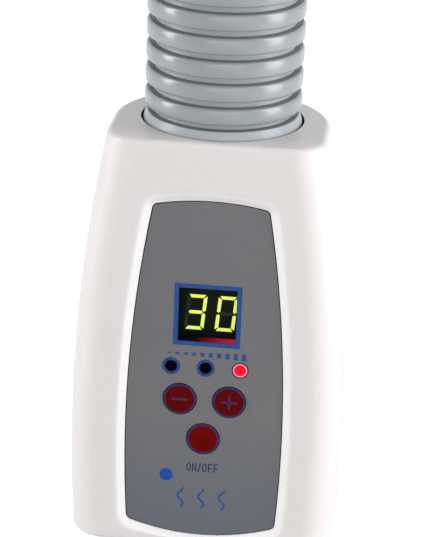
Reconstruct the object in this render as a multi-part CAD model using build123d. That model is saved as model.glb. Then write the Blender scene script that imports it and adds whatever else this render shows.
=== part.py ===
from build123d import *
import os
from math import radians, sin, cos, sqrt

# Infrared heat lamp on a table stand. Millimetres, +Z up, the panel and the lamp head face -Y.
# The origin is the centre of the pad's underside, on the table.

# Base
base_radius = 120.0
base_pad_thickness = 3.0
base_pad_inset = 6.0
base_plate_thickness = 3.0
base_weight_thickness = 13.0
base_cover_height = 25.0
base_cover_wall = 2.0
base_edge_height = 11.0
base_cover_flat_radius = 34.0
base_weight_inset = 19.25
base_screw_radius = 1.8
base_screw_inset = 24.0
base_post_wall = 2.2

# Stem
stem_outer_radius = 12.7
stem_outer_wall = 1.6
stem_outer_top = 116.0
stem_inner_radius = 9.5
stem_inner_wall = 1.5
stem_running_gap = 0.06
stem_travel = 60.0
stem_engagement = 24.5
stem_grip = 12.0
stem_foot_radius = 27.0
stem_foot_height = 14.0
stem_foot_flange = 4.0
stem_foot_screw_radius = 1.65
stem_bolt_radius = 2.0
trim_ring_radius = 24.0
trim_ring_height = 12.0
bush_length = 26.0
bush_lip = 2.5
collar_radius = 18.0
collar_height = 30.0
collar_rise = 11.0
collar_boss_radius = 7.5
collar_boss_length = 5.0
knob_below_collar_top = 13.0
knob_screw_radius = 3.0
knob_radius = 14.0
knob_thickness = 15.0
knob_lobes = 6
socket_flange_radius = 21.0
socket_flange_thickness = 3.0
socket_wall = 3.4
socket_depth = 16.0
socket_screw_circle = 17.0
socket_screw_radius = 1.5

# Housing
housing_clearance = 13.0
housing_height = 140.0
housing_top_width = 69.4
housing_greatest_width = 89.2
housing_widest_below_top = 103.0
housing_front = 29.3
housing_back = 30.5
housing_front_corner = 11.0
housing_back_corner = 33.0
housing_edge_round = 1.6
housing_wall = 2.4
housing_top_wall = 3.0
housing_seam = 4.0
shell_post_radius = 3.6
shell_screw_radius = 1.25
shell_screw_head_radius = 2.7
shell_screws_below_top = (30.0, 118.0)

# Control panel on the front of the housing
panel_recess = 1.3
panel_thickness = 1.0
panel_floor = 2.3
panel_bevel = 2.3
panel_corner = 1.2
panel_fit = 0.15
panel_top = 19.3
panel_top_corner_x = 18.4
panel_top_corner_drop = 2.0
panel_bottom = 136.2
panel_bottom_corner_x = 24.5
panel_bottom_corner_rise = 4.3
panel_widest_below_top = 102.0
panel_greatest_half_width = 25.6
window_width = 18.8
window_height = 18.4
window_below_top = 58.0
display_width = 24.0
display_height = 19.8
display_depth = 8.0
led_radius = 1.5
led_hole_radius = 1.8
led_spacing = 11.2
led_below_top = 76.2
led_proud = 0.3
key_radius = 5.35
key_spacing = 16.1
key_pair_below_top = 87.6
power_key_below_top = 101.3
key_proud = 0.5
key_travel = 0.5
key_gap = 0.25
body_gap = 0.3
press_gap = 0.05
screw_gap = 0.1

# Boards inside the housing
board_thickness = 1.6
board_half_width = 25.0
board_below_top = 24.0
board_above_bottom = 8.0
board_post_x = 21.0
board_posts_below_top = (30.0, 127.0)
board_post_radius = 2.6
board_screw_radius = 0.95
board_screw_head_radius = 2.2
switch_height = 3.5
switch_plunger = 1.9
power_board_front_y = 12.0
power_board_half_width = 24.0
power_board_top = 37.0
power_board_bottom = 97.0
power_post_x = 20.0
power_posts_below_top = (42.0, 92.0)

# Ribbed hose and the ball links inside it
hose_outer_radius = 25.35
hose_neck_radius = 22.75
hose_bore_radius = 20.2
hose_foot_radius = 25.7
rib_pitch = 7.6
rib_groove = 1.9
rib_shoulder = 0.45
rib_count = 43
first_rib = 8.0
hose_straight = 114.0
hose_bend_radius = 120.0
hose_bend_angle = 90.0
first_pivot_rib = 5
ribs_per_link = 6
pivot_count = 6
link_radius = 18.8
link_bore_radius = 12.6
link_ring_gap = 0.3
ball_radius = 17.2
ball_gap = 0.3
socket_lip = 5.5
ball_skirt = 8.0
ball_neck_angle = 49.0
link_end_length = 15.0
hose_foot_lip = 3.2
hose_foot_depth = 13.0
flange_drop = 14.0
flange_thickness = 3.0
flange_radius = 24.4
flange_ear_x = 29.0
flange_ear_y = -2.0
flange_ear_radius = 4.0
clamp_width = 8.0
clamp_thickness = 0.9

# Lamp head, measured along its axis from the end of the hose
head_neck_length = 26.0
head_neck_cup = 7.0
head_neck_wall = 2.2
head_spigot = 14.0
head_screw_circle = 27.0
head_screw_radius = 1.35
cap_rear_radius = 33.0
cap_front_radius = 57.0
cap_end = 60.0
cap_wall = 1.6
vent_slots = 12
vent_width = 4.0
shade_mouth_radius = 75.0
shade_end = 190.0
shade_wall = 1.3
shade_bead_radius = 1.8
bulb_radius = 61.0
bulb_length = 136.0
bulb_setback = 13.0
bulb_wall = 1.5
bulb_lens_depth = 19.0
bulb_cap_radius = 13.1
bulb_cap_length = 25.0
lampholder_radius = 19.0
lampholder_wall = 3.2
guard_wire_radius = 1.1
guard_spokes = 8
guard_clip_count = 3
guard_clip_start = 22.5

# Mains inlet on the rear of the housing
inlet_above_bottom = 21.0
inlet_width = 24.0
inlet_height = 16.4
inlet_depth = 15.0
inlet_wall = 2.2
inlet_flange_thickness = 2.2
inlet_flange_rim = 5.0
inlet_pin_spacing = 7.0
inlet_pin_width = 2.0
inlet_pin_height = 4.0
inlet_pin_setback = 1.5
inlet_pin_tail = 3.0

# Places that follow from the sizes above
base_screw_circle = base_radius - base_screw_inset
collar_top = stem_outer_top + collar_rise
housing_bottom = collar_top + housing_clearance
housing_top = housing_bottom + housing_height
shell_reach = housing_greatest_width
panel_face_y = -(housing_front - panel_recess)
recess_floor_y = panel_face_y + panel_thickness
floor_back_y = recess_floor_y + panel_floor
display_front_y = floor_back_y + body_gap
board_front_y = display_front_y + display_depth
board_back_y = board_front_y + board_thickness
power_board_back_y = power_board_front_y + board_thickness

os.makedirs("parts", exist_ok=True)


def save(node, shape):
    export_step(shape, "parts/" + node + ".step")


def turned(profile, place=Plane.XY):
    """Solid of revolution about the place's Z axis, from (radius, height) corners."""
    outline = Polyline(*[(r, 0, h) for r, h in profile], close=True)
    return place.location * revolve(make_face(outline), Axis.Z)


def tube(outer, inner, low, high, place=Plane.XY):
    """Round tube between two heights on the place's Z axis, or a rod where inner is 0."""
    return turned([(inner, low), (outer, low), (outer, high), (inner, high)], place)


def block(x0, x1, y0, y1, z0, z1):
    """Box between the given limits."""
    size = Box(x1 - x0, y1 - y0, z1 - z0)
    return Pos((x0 + x1) / 2, (y0 + y1) / 2, (z0 + z1) / 2) * size


def facing_front(x, y, z):
    """Plane at a point with its Z axis towards the user."""
    return Plane(origin=(x, y, z), x_dir=(1, 0, 0), z_dir=(0, -1, 0))


def facing_back(x, y, z):
    """Plane at a point with its Z axis away from the user."""
    return Plane(origin=(x, y, z), x_dir=(-1, 0, 0), z_dir=(0, 1, 0))


def around(count, radius, start=0.0):
    """Points spread evenly on a circle."""
    turns = [radians(start + 360.0 * k / count) for k in range(count)]
    return [(radius * cos(t), radius * sin(t)) for t in turns]


# Base: rubber pad, steel plate, cast weight, domed cover and its screws
plate_low = base_pad_thickness
plate_high = plate_low + base_plate_thickness
weight_high = plate_high + base_weight_thickness
cover_inner_top = base_cover_height - base_cover_wall
cover_hole_radius = stem_outer_radius + body_gap


def base_pad():
    return tube(base_radius - base_pad_inset, 0, 0, base_pad_thickness)


def base_screw_places():
    return around(4, base_screw_circle, 45)


def base_plate():
    plate = tube(base_radius - base_cover_wall - body_gap, 0, plate_low, plate_high)
    for x, y in base_screw_places():
        plate -= Pos(x, y, 0) * tube(base_screw_radius + screw_gap, 0, plate_low, plate_high)
    return plate


def base_weight():
    rim = base_radius - base_weight_inset
    inner = stem_foot_radius + 1
    ring = turned([(inner, plate_high), (rim, plate_high), (rim, plate_high + 5),
                   (rim - 22, weight_high - 1), (rim - 40, weight_high), (inner, weight_high)])
    for x, y in base_screw_places():
        ring -= Pos(x, y, 0) * tube(base_screw_radius + base_post_wall + 0.4, 0, plate_high, weight_high)
    return ring


def dome_points(radius, edge, top):
    """Half profile of the domed cover, from its rim in to its flat centre."""
    steps = 8
    flat = base_cover_flat_radius
    points = [(radius, edge)]
    for k in range(1, steps + 1):
        t = radians(90.0 * k / steps)
        points.append((flat + (radius - flat) * cos(t), edge + (top - edge) * sin(t)))
    return points


def cover_underside(radius):
    """Height of the cover's underside at a distance from the stem's axis."""
    part = (radius - base_cover_flat_radius) / (base_radius - base_cover_wall - base_cover_flat_radius)
    edge = base_edge_height - 1
    return edge + (cover_inner_top - edge) * sqrt(1 - part * part)


def base_cover():
    outer = dome_points(base_radius, base_edge_height, base_cover_height)
    inner_radius = base_radius - base_cover_wall
    inner = dome_points(inner_radius, base_edge_height - 1, cover_inner_top)
    shell = turned([(base_radius - 1, plate_low)] + [(base_radius, plate_low + 1)] + outer
                   + [(cover_hole_radius, base_cover_height), (cover_hole_radius, cover_inner_top)]
                   + inner[::-1] + [(inner_radius, plate_low)])
    post_radius = base_screw_radius + base_post_wall
    post_top = cover_underside(base_screw_circle) + base_cover_wall * 0.4
    for x, y in base_screw_places():
        shell += Pos(x, y, 0) * tube(post_radius, 0, plate_high, post_top)
        shell -= Pos(x, y, 0) * tube(base_screw_radius, 0, plate_high, base_edge_height + 3)
    return shell


def base_screws():
    screws = []
    for x, y in base_screw_places():
        shank = tube(base_screw_radius - press_gap, 0, plate_low, base_edge_height + 2)
        screws.append(Pos(x, y, 0) * shank)
    flange_top = plate_high + stem_foot_flange
    for x, y in stem_foot_screw_places():
        shank = tube(stem_foot_screw_radius, 0, plate_high, flange_top)
        screw = shank + tube(stem_foot_screw_radius + 0.95, 0, flange_top, flange_top + 2)
        screws.append(Pos(x, y, 0) * screw)
    return Compound(children=screws)


# Stem: foot, outer tube, trim ring, bush, collar with its clamp knob, inner tube
foot_high = plate_high + stem_foot_height
bush_top = stem_outer_top + bush_lip
inner_tube_low = bush_top - stem_engagement - stem_travel
inner_tube_top = housing_bottom + stem_grip
collar_low = collar_top - collar_height
knob_z = collar_top - knob_below_collar_top


def stem_foot():
    inner = stem_outer_radius + press_gap
    flange_top = plate_high + stem_foot_flange
    foot = turned([(inner, plate_high), (stem_foot_radius, plate_high), (stem_foot_radius, flange_top),
                   (inner + 5, flange_top), (inner + 3.6, foot_high), (inner, foot_high)])
    for x, y in stem_foot_screw_places():
        foot -= Pos(x, y, 0) * tube(stem_foot_screw_radius + press_gap, 0, plate_high, flange_top + 1)
    return foot


def stem_foot_screw_places():
    return around(4, stem_foot_radius - 5.0)


def stem_outer_tube():
    inner = stem_outer_radius - stem_outer_wall
    pipe = tube(stem_outer_radius, inner, plate_high, stem_outer_top)
    return pipe - knob_bore(knob_screw_radius + body_gap)


def stem_trim_ring():
    inner = stem_outer_radius + screw_gap
    low = base_cover_height
    high = base_cover_height + trim_ring_height
    return turned([(inner, low), (trim_ring_radius, low), (trim_ring_radius, low + 3),
                   (inner + 3.5, high), (inner, high)])


def stem_bush():
    """Sleeve bearing in the top of the outer tube, with a lip over the tube's end."""
    inner = stem_inner_radius + stem_running_gap
    fit = stem_outer_radius - stem_outer_wall
    low = stem_outer_top - bush_length
    bush = turned([(inner, low), (fit, low), (fit, stem_outer_top), (stem_outer_radius, stem_outer_top),
                   (stem_outer_radius, bush_top), (inner, bush_top)])
    return bush - knob_bore(knob_screw_radius + body_gap)


def knob_bore(radius):
    """Rod along the clamp screw's axis, from the stem's centre out to the back."""
    place = facing_back(0, 0, knob_z)
    return tube(radius, 0, 2, collar_radius + collar_boss_length + 1, place)


def stem_collar():
    """Clamp collar over the tube's end, with a boss that carries the clamp screw."""
    inner = stem_outer_radius + press_gap
    top_hole = stem_inner_radius + 0.5
    shoulder = bush_top + screw_gap
    collar = turned([(inner, collar_low), (collar_radius - 1.5, collar_low), (collar_radius, collar_low + 3),
                     (collar_radius, collar_top - 3), (collar_radius - 2.5, collar_top),
                     (top_hole, collar_top), (top_hole, shoulder), (inner, shoulder)])
    boss_end = collar_radius + collar_boss_length
    collar += tube(collar_boss_radius, 0, stem_outer_radius + 1, boss_end, facing_back(0, 0, knob_z))
    return collar - knob_bore(knob_screw_radius + 0.08)


def clamp_knob():
    """Lobed hand knob on its screw. The screw's tip stops just short of the inner tube."""
    place = facing_back(0, 0, knob_z)
    face = collar_radius + collar_boss_length + body_gap
    tip = stem_inner_radius + body_gap
    screw = tube(knob_screw_radius, 0, tip, face + 2, place)
    head = tube(knob_radius, 0, face, face + knob_thickness, place)
    for x, y in around(knob_lobes, knob_radius + 2.0, 15):
        groove = Pos(x, y, 0) * tube(4.6, 0, face + 3, face + knob_thickness)
        head -= place.location * groove
    hub = tube(8, 0, face + knob_thickness - 1, face + knob_thickness + 2, place)
    return head + screw + hub


def stem_inner_tube():
    inner = stem_inner_radius - stem_inner_wall
    return tube(stem_inner_radius, inner, inner_tube_low, inner_tube_top) - stem_bolt_hole()


def stem_bolt_place():
    """Cross plane for the bolt, 3 mm under the inner tube's top."""
    return Plane(origin=(0, 0, inner_tube_top - 3.0), x_dir=(0, 1, 0), z_dir=(1, 0, 0))


def stem_bolt_hole():
    reach = stem_inner_radius + socket_wall + 1
    return tube(stem_bolt_radius + screw_gap, 0, -reach, reach, stem_bolt_place())


def socket_screw_places():
    return around(4, socket_screw_circle, 45)


def stem_socket():
    """Flanged socket in the housing floor that holds the inner tube."""
    floor = housing_bottom + housing_wall
    inner = stem_inner_radius + press_gap
    wall = stem_inner_radius + socket_wall
    flange_top = floor + socket_flange_thickness
    top = floor + socket_depth
    socket = turned([(inner, housing_bottom), (wall, housing_bottom), (wall, floor),
                     (socket_flange_radius, floor), (socket_flange_radius, flange_top), (wall, flange_top),
                     (wall, top), (0, top), (0, top - 2.5), (inner, top - 2.5)])
    socket -= stem_bolt_hole()
    for x, y in socket_screw_places():
        socket -= Pos(x, y, 0) * tube(socket_screw_radius + screw_gap, 0, floor, flange_top)
    return socket


def stem_screws():
    """Four screws through the socket's flange and the bolt through the inner tube."""
    high = housing_bottom + housing_wall + socket_flange_thickness
    place = stem_bolt_place()
    reach = stem_inner_radius + socket_wall
    bolt = tube(stem_bolt_radius, 0, -reach - 1, reach + 1, place)
    bolt_head = stem_bolt_radius + 1.5
    bolt += tube(bolt_head, 0, reach, reach + 2.4, place) + tube(bolt_head, 0, -reach - 2.8, -reach, place)
    screws = [bolt]
    for x, y in socket_screw_places():
        head = tube(socket_screw_radius + 1.1, 0, high, high + 2)
        screws.append(Pos(x, y, 0) * (tube(socket_screw_radius, 0, housing_bottom + 0.6, high) + head))
    return Compound(children=screws)


# Housing: two shells that meet on the seam plane
def housing_half_width(drop):
    """Half width of the housing at a depth below its top: a long even curve."""
    spread = (housing_greatest_width - housing_top_width) / 2
    part = (drop - housing_widest_below_top) / housing_widest_below_top
    return housing_greatest_width / 2 - spread * part * part


def housing_section(drop, inset=0.0, front_inset=None):
    """Outline of the housing at a depth below its top, drawn in by inset."""
    half = housing_half_width(drop) - inset
    front = -(housing_front - (inset if front_inset is None else front_inset))
    back = housing_back - inset
    rf = housing_front_corner - inset
    rb = housing_back_corner - inset
    edges = [Line((-half + rf, front), (half - rf, front)),
             CenterArc((half - rf, front + rf), rf, -90, 90),
             Line((half, front + rf), (half, back - rb)),
             CenterArc((half - rb, back - rb), rb, 0, 90),
             Line((half - rb, back), (-half + rb, back)),
             CenterArc((-half + rb, back - rb), rb, 90, 90),
             Line((-half, back - rb), (-half, front + rf)),
             CenterArc((-half + rf, front + rf), rf, 180, 90)]
    return Pos(0, 0, housing_top - drop) * make_face(edges)


def housing_body(inset, top_drop, bottom_drop):
    """Smooth loft through housing sections between two depths."""
    steps = 6
    drops = [top_drop + (bottom_drop - top_drop) * k / steps for k in range(steps + 1)]
    return loft([housing_section(d, inset) for d in drops])


def rounded_housing():
    """Outer form, with its top and bottom edges rounded."""
    r = housing_edge_round
    body = housing_body(0, r, housing_height - r)
    turns = [0, 30, 60, 90]
    insets = [r * (1 - cos(radians(t))) for t in turns]
    rises = [r * (1 - sin(radians(t))) for t in turns]
    steps = list(zip(insets, rises))
    top = loft([housing_section(rise, inset) for inset, rise in steps], ruled=True)
    low = loft([housing_section(housing_height - rise, inset) for inset, rise in steps], ruled=True)
    return body + top + low


def panel_outline(y, grow=0.0):
    """Face of the control panel's outline at a distance y from the stem's axis, with a margin."""
    top_x = panel_top_corner_x + grow
    low_x = panel_bottom_corner_x + grow
    wide_x = panel_greatest_half_width + grow
    corner_top = -(panel_top + panel_top_corner_drop - grow)
    corner_low = -(panel_bottom - panel_bottom_corner_rise + grow)
    middle = -panel_widest_below_top
    right = ThreePointArc((top_x, corner_top), (wide_x, middle), (low_x, corner_low))
    low = ThreePointArc((low_x, corner_low), (0, -panel_bottom - grow), (-low_x, corner_low))
    left = ThreePointArc((-low_x, corner_low), (-wide_x, middle), (-top_x, corner_top))
    top = ThreePointArc((-top_x, corner_top), (0, -panel_top + grow), (top_x, corner_top))
    face = make_face([right, low, left, top])
    face = fillet(face.vertices(), panel_corner + grow)
    return facing_front(0, y, housing_top).location * face


def front_rod(x, drop, radius, y_back, y_front):
    """Rod towards the user at a place on the panel."""
    return tube(radius, 0, -y_back, -y_front, facing_front(x, 0, housing_top - drop))


def led_places():
    return [(-led_spacing, led_below_top), (0, led_below_top), (led_spacing, led_below_top)]


def key_places():
    return {"minus_key": (-key_spacing / 2, key_pair_below_top),
            "plus_key": (key_spacing / 2, key_pair_below_top),
            "power_key": (0, power_key_below_top)}


def window_block(margin, y_back, y_front):
    half_w = window_width / 2 + margin
    half_h = window_height / 2 + margin
    middle = housing_top - window_below_top
    return block(-half_w, half_w, y_front, y_back, middle - half_h, middle + half_h)


def panel_openings(y_back, y_front, margin):
    """What is cut through the panel and the floor behind it."""
    cut = window_block(margin, y_back, y_front)
    for x, drop in led_places():
        cut += front_rod(x, drop, led_hole_radius + margin, y_back, y_front)
    for x, drop in key_places().values():
        cut += front_rod(x, drop, key_radius + key_gap, y_back, y_front)
    return cut


def shell_screw_places():
    inside = housing_wall + shell_post_radius + 2.0
    places = []
    for drop in shell_screws_below_top:
        x = housing_half_width(drop) - inside
        places += [(-x, drop), (x, drop)]
    return places


def post_places(x, drops):
    """Pairs of places either side of the middle, at each depth below the housing's top."""
    return [(side * x, drop) for drop in drops for side in (-1, 1)]


board_posts = post_places(board_post_x, board_posts_below_top)
power_posts = post_places(power_post_x, power_posts_below_top)
hose_hole_radius = hose_foot_radius + 0.4
screw_head_y = housing_seam + 3.0
board_screw_depth = 6.0


def housing_shells():
    """Front and rear shell, cut from one hollow form at the seam plane."""
    outer = rounded_housing()
    cavity = housing_body(housing_wall, housing_top_wall, housing_height - housing_wall)
    bottom = housing_bottom - 1
    top = housing_top + 1
    floor_top = housing_top - panel_top + 4
    pad = block(-panel_greatest_half_width - 3, panel_greatest_half_width + 3,
                -housing_front - 1, floor_back_y, bottom, floor_top)
    recess = extrude(panel_outline(recess_floor_y, panel_fit), panel_thickness + 0.01)
    bevel_ends = [panel_outline(panel_face_y, panel_fit), panel_outline(-housing_front, panel_bevel)]
    bevel = loft(bevel_ends, ruled=True)
    hollow = outer - (cavity - pad)
    hollow -= recess
    hollow -= bevel
    hollow -= panel_openings(floor_back_y + 1, recess_floor_y - 1, 0)
    for side in (-1, 1):
        boss = tube(flange_ear_radius, shell_screw_radius, housing_top - flange_drop, housing_top - 1)
        hollow += Pos(side * flange_ear_x, flange_ear_y, 0) * boss
    hollow -= tube(hose_hole_radius, 0, housing_top - 4, top)
    floor_top_z = housing_bottom + housing_wall + 1
    hollow -= tube(stem_inner_radius + socket_wall + screw_gap, 0, bottom, floor_top_z)
    for x, y in socket_screw_places():
        hollow -= Pos(x, y, 0) * tube(socket_screw_radius + screw_gap, 0, bottom, floor_top_z)
        hollow -= Pos(x, y, 0) * tube(socket_screw_radius + 1.3, 0, bottom, housing_bottom + 0.6)

    front = hollow & block(-shell_reach, shell_reach, -shell_reach, housing_seam, bottom, top)
    rear = hollow & block(-shell_reach, shell_reach, housing_seam, shell_reach, bottom, top)
    for x, drop in shell_screw_places():
        front += outer & front_rod(x, drop, shell_post_radius, housing_seam, -shell_reach)
        front -= front_rod(x, drop, shell_screw_radius + press_gap, housing_seam, -9)
        rear += outer & front_rod(x, drop, shell_post_radius + 0.6, shell_reach, housing_seam)
        rear -= front_rod(x, drop, shell_screw_radius + 0.3, shell_reach, housing_seam)
        rear -= front_rod(x, drop, shell_screw_head_radius + 0.3, shell_reach, screw_head_y)
    screw_hole = board_screw_radius + press_gap
    for x, drop in board_posts:
        front += front_rod(x, drop, board_post_radius, board_front_y, floor_back_y - 0.5)
        front -= front_rod(x, drop, screw_hole, board_front_y, floor_back_y)
    hole_end = power_board_back_y + board_screw_depth + 1
    for x, drop in power_posts:
        rear += outer & front_rod(x, drop, board_post_radius, shell_reach, power_board_back_y)
        rear -= front_rod(x, drop, screw_hole, hole_end, power_board_back_y)
    z = housing_bottom + inlet_above_bottom
    hole_x = inlet_width / 2 + inlet_wall + screw_gap
    hole_z = inlet_height / 2 + inlet_wall + screw_gap
    rear -= block(-hole_x, hole_x, 20, shell_reach, z - hole_z, z + hole_z)
    return front, rear


def housing_screws():
    screws = []
    for x, drop in shell_screw_places():
        shank = front_rod(x, drop, shell_screw_radius, screw_head_y, -8)
        head = front_rod(x, drop, shell_screw_head_radius, screw_head_y + 2.2, screw_head_y)
        screws.append(shank + head)
    low = housing_top - flange_drop - flange_thickness
    for side in (-1, 1):
        screw = tube(shell_screw_radius - press_gap, 0, low, low + 11)
        screw += tube(shell_screw_head_radius, 0, low - 2, low)
        screws.append(Pos(side * flange_ear_x, flange_ear_y, 0) * screw)
    return Compound(children=screws)


# Control panel: overlay, keys, display, lights, board and its parts
plunger_y = board_front_y - switch_height - switch_plunger
key_flange_front_y = floor_back_y + body_gap
key_flange_radius = key_radius + 1.15
key_flange_back_y = key_flange_front_y + 1.0
key_stem_y = plunger_y - key_travel - body_gap


def control_panel():
    sheet = extrude(panel_outline(recess_floor_y), panel_thickness)
    return sheet - panel_openings(recess_floor_y + 1, panel_face_y - 1, 0.0)


def key_cap(x, drop):
    face_y = panel_face_y - key_proud
    place = facing_front(x, 0, housing_top - drop)
    edge = 0.35
    return turned([(0, -key_stem_y), (2, -key_stem_y), (2, -key_flange_back_y),
                   (key_flange_radius, -key_flange_back_y), (key_flange_radius, -key_flange_front_y),
                   (key_radius, -key_flange_front_y),
                   (key_radius, -face_y - edge), (key_radius - edge, -face_y), (0, -face_y)], place)


def key_switches():
    switches = []
    for x, drop in key_places().values():
        z = housing_top - drop
        body = block(x - 3, x + 3, board_front_y - switch_height, board_front_y, z - 3, z + 3)
        switches.append(body + front_rod(x, drop, 1.7, board_front_y - switch_height, plunger_y))
    return Compound(children=switches)


def display_module():
    """Two-digit display, a block that stands on the board."""
    middle = housing_top - window_below_top
    half_w = display_width / 2
    half_h = display_height / 2
    return block(-half_w, half_w, display_front_y, board_front_y, middle - half_h, middle + half_h)


led_flange_y = floor_back_y + 0.5
led_flange_thickness = 1.0


def led(x, drop):
    place = facing_front(x, 0, housing_top - drop)
    tip = -(panel_face_y - led_proud)
    base = -(led_flange_y + led_flange_thickness)
    dome = [(led_radius * cos(radians(t)), tip - led_radius + led_radius * sin(radians(t)))
            for t in (0, 22.5, 45, 67.5)]
    top = base + led_flange_thickness
    return turned([(0, base), (led_radius + 0.4, base), (led_radius + 0.4, top),
                   (led_radius, top)] + dome + [(0, tip)], place)


def indicator_leds():
    """Three lights, each on its spacer."""
    lights = []
    for x, drop in led_places():
        spacer = front_rod(x, drop, led_radius + 0.4, board_front_y, led_flange_y + led_flange_thickness)
        lights.append(led(x, drop) + spacer)
    return Compound(children=lights)


def control_board():
    low = housing_bottom + board_above_bottom
    high = housing_top - board_below_top
    board = block(-board_half_width, board_half_width, board_front_y, board_back_y, low, high)
    for x, drop in board_posts:
        board -= front_rod(x, drop, board_screw_radius + 0.25, board_back_y + 1, board_front_y - 1)
    return board


def board_screws():
    head = board_screw_head_radius
    screws = []
    for x, drop in board_posts:
        shank = front_rod(x, drop, board_screw_radius, board_back_y, board_front_y - board_screw_depth)
        screws.append(shank + front_rod(x, drop, head, board_back_y + 1.6, board_back_y))
    for x, drop in power_posts:
        tip = power_board_back_y + board_screw_depth
        shank = front_rod(x, drop, board_screw_radius, tip, power_board_front_y)
        screws.append(shank + front_rod(x, drop, head, power_board_front_y, power_board_front_y - 1.6))
    return Compound(children=screws)


def buzzer():
    return front_rod(14, 100, 6, board_back_y + 7, board_back_y)


# Power board with what it carries
def power_board():
    half = power_board_half_width
    low = housing_top - power_board_bottom
    high = housing_top - power_board_top
    board = block(-half, half, power_board_front_y, power_board_back_y, low, high)
    hole = board_screw_radius + 0.25
    for x, drop in power_posts:
        board -= front_rod(x, drop, hole, power_board_back_y + 1, power_board_front_y - 1)
    return board


def transformer():
    z = housing_top - power_board_bottom + 21.0
    y = power_board_front_y
    core = block(-16, 8, y - 19, y, z - 11, z + 11)
    coil = block(-11, 3, y - 21, y - 2, z - 14, z + 14)
    return core + coil


def heat_sink():
    """Finned plate that carries the power switch."""
    y = power_board_front_y
    high = housing_top - power_board_top - 3.0
    low = high - 20.0
    plate = block(-16, 6, y - 4, y - 2, low, high)
    for k in range(6):
        x = -16 + 4.08 * k
        plate += block(x, x + 1.6, y - 13, y - 3, low, high)
    feet = block(-16, -13, y - 3, y, low, low + 3) + block(3, 6, y - 3, y, low, low + 3)
    return plate + feet


def terminal_block():
    y = power_board_front_y
    z = housing_top - power_board_top - 13.0
    body = block(9.5, 17.5, y - 11, y, z - 8, z + 8)
    for k in range(3):
        zk = z - 5.2 + 5.2 * k
        body -= block(9, 14, y - 9, y - 5, zk - 1.6, zk + 1.6)
    return body


# Mains inlet on the rear shell
def mains_inlet():
    z = housing_bottom + inlet_above_bottom
    half_w = inlet_width / 2
    half_h = inlet_height / 2
    back = housing_back + inlet_flange_thickness
    inner = back - inlet_depth
    body = block(-half_w - inlet_wall, half_w + inlet_wall, inner - inlet_wall, housing_back,
                 z - half_h - inlet_wall, z + half_h + inlet_wall)
    rim = inlet_flange_rim
    flange = block(-half_w - rim, half_w + rim, housing_back, back, z - half_h - rim, z + half_h + rim)
    cavity = block(-half_w, half_w, inner, back + 1, z - half_h, z + half_h)
    socket = body + flange - cavity - inlet_pin_blocks(0.02)
    return Compound(children=[socket] + list(inlet_pin_blocks(0).solids()))


def inlet_pin_blocks(grow):
    """The three contact pins, the earth pin above the other two, with a margin all round."""
    z = housing_bottom + inlet_above_bottom
    high = housing_back + inlet_flange_thickness - inlet_pin_setback
    low = high + inlet_pin_setback - inlet_depth - inlet_wall - inlet_pin_tail
    half_w = inlet_pin_width / 2 + grow
    half_h = inlet_pin_height / 2 + grow
    shift = inlet_pin_height / 2
    pins = Part()
    for x, dz in ((-inlet_pin_spacing, -shift), (0, shift), (inlet_pin_spacing, -shift)):
        pins += block(x - half_w, x + half_w, low, high, z + dz - half_h, z + dz + half_h)
    return pins


# Hose: a centre line that runs up, bends forward through a quarter turn and ends straight
bend_length = hose_bend_radius * radians(hose_bend_angle)
hose_length = first_rib + rib_pitch * (rib_count - 1) + (rib_pitch - rib_groove) / 2


def hose_plane(s):
    """Plane square to the centre line at a distance s above the housing, X axis steady."""
    if s <= hose_straight:
        return Plane(origin=(0, 0, housing_top + s), x_dir=(1, 0, 0), z_dir=(0, 0, 1))
    turn = min(s - hose_straight, bend_length) / hose_bend_radius
    rest = max(0.0, s - hose_straight - bend_length)
    y = -hose_bend_radius + hose_bend_radius * cos(turn) - rest * sin(turn)
    z = housing_top + hose_straight + hose_bend_radius * sin(turn) + rest * cos(turn)
    return Plane(origin=(0, y, z), x_dir=(1, 0, 0), z_dir=(0, -sin(turn), cos(turn)))


def ring_at(s, radius):
    return hose_plane(s).location * Circle(radius)


def ring_on(place, shift, radius):
    return place.location * Pos(0, 0, shift) * Circle(radius)


def rib_place(rib):
    return first_rib + rib_pitch * rib


pivot_ribs = [first_pivot_rib + ribs_per_link * k for k in range(pivot_count)]
pivots = [rib_place(rib) for rib in pivot_ribs]
rib_half = (rib_pitch - rib_groove) / 2


def sleeve(first, last):
    """Stretch of ribbed hose from one rib to another, a ruled loft through 4 circles a rib."""
    rings = []
    for rib in range(first, last + 1):
        s = rib_place(rib)
        crest = rib_half - rib_shoulder
        rings += [ring_at(s - rib_half, hose_neck_radius), ring_at(s - crest, hose_outer_radius),
                  ring_at(s + crest, hose_outer_radius), ring_at(s + rib_half, hose_neck_radius)]
    solid = loft(rings, ruled=True)
    bore = [ring_at(rib_place(first) - rib_half - 0.5, hose_bore_radius)]
    bore += [ring_at(rib_place(rib), hose_bore_radius) for rib in range(first, last + 1)]
    bore += [ring_at(rib_place(last) + rib_half + 0.5, hose_bore_radius)]
    return solid - loft(bore, ruled=True)


def foot_sleeve(last):
    """First stretch of hose: its plain foot stands in the housing's hole."""
    ribbed = sleeve(0, last)
    low = housing_top - hose_foot_depth
    lip = housing_top - hose_foot_lip
    top = housing_top + first_rib - rib_half
    cuff = hose_neck_radius + 0.8
    foot = turned([(hose_bore_radius, low), (cuff, low), (cuff, lip),
                   (hose_foot_radius, lip), (hose_foot_radius, top - rib_groove + rib_shoulder * 0.5),
                   (hose_foot_radius - rib_shoulder, top - rib_groove + rib_shoulder),
                   (hose_neck_radius, top - rib_groove + rib_shoulder), (hose_neck_radius, top),
                   (hose_bore_radius, top)])
    return ribbed + foot


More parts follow.
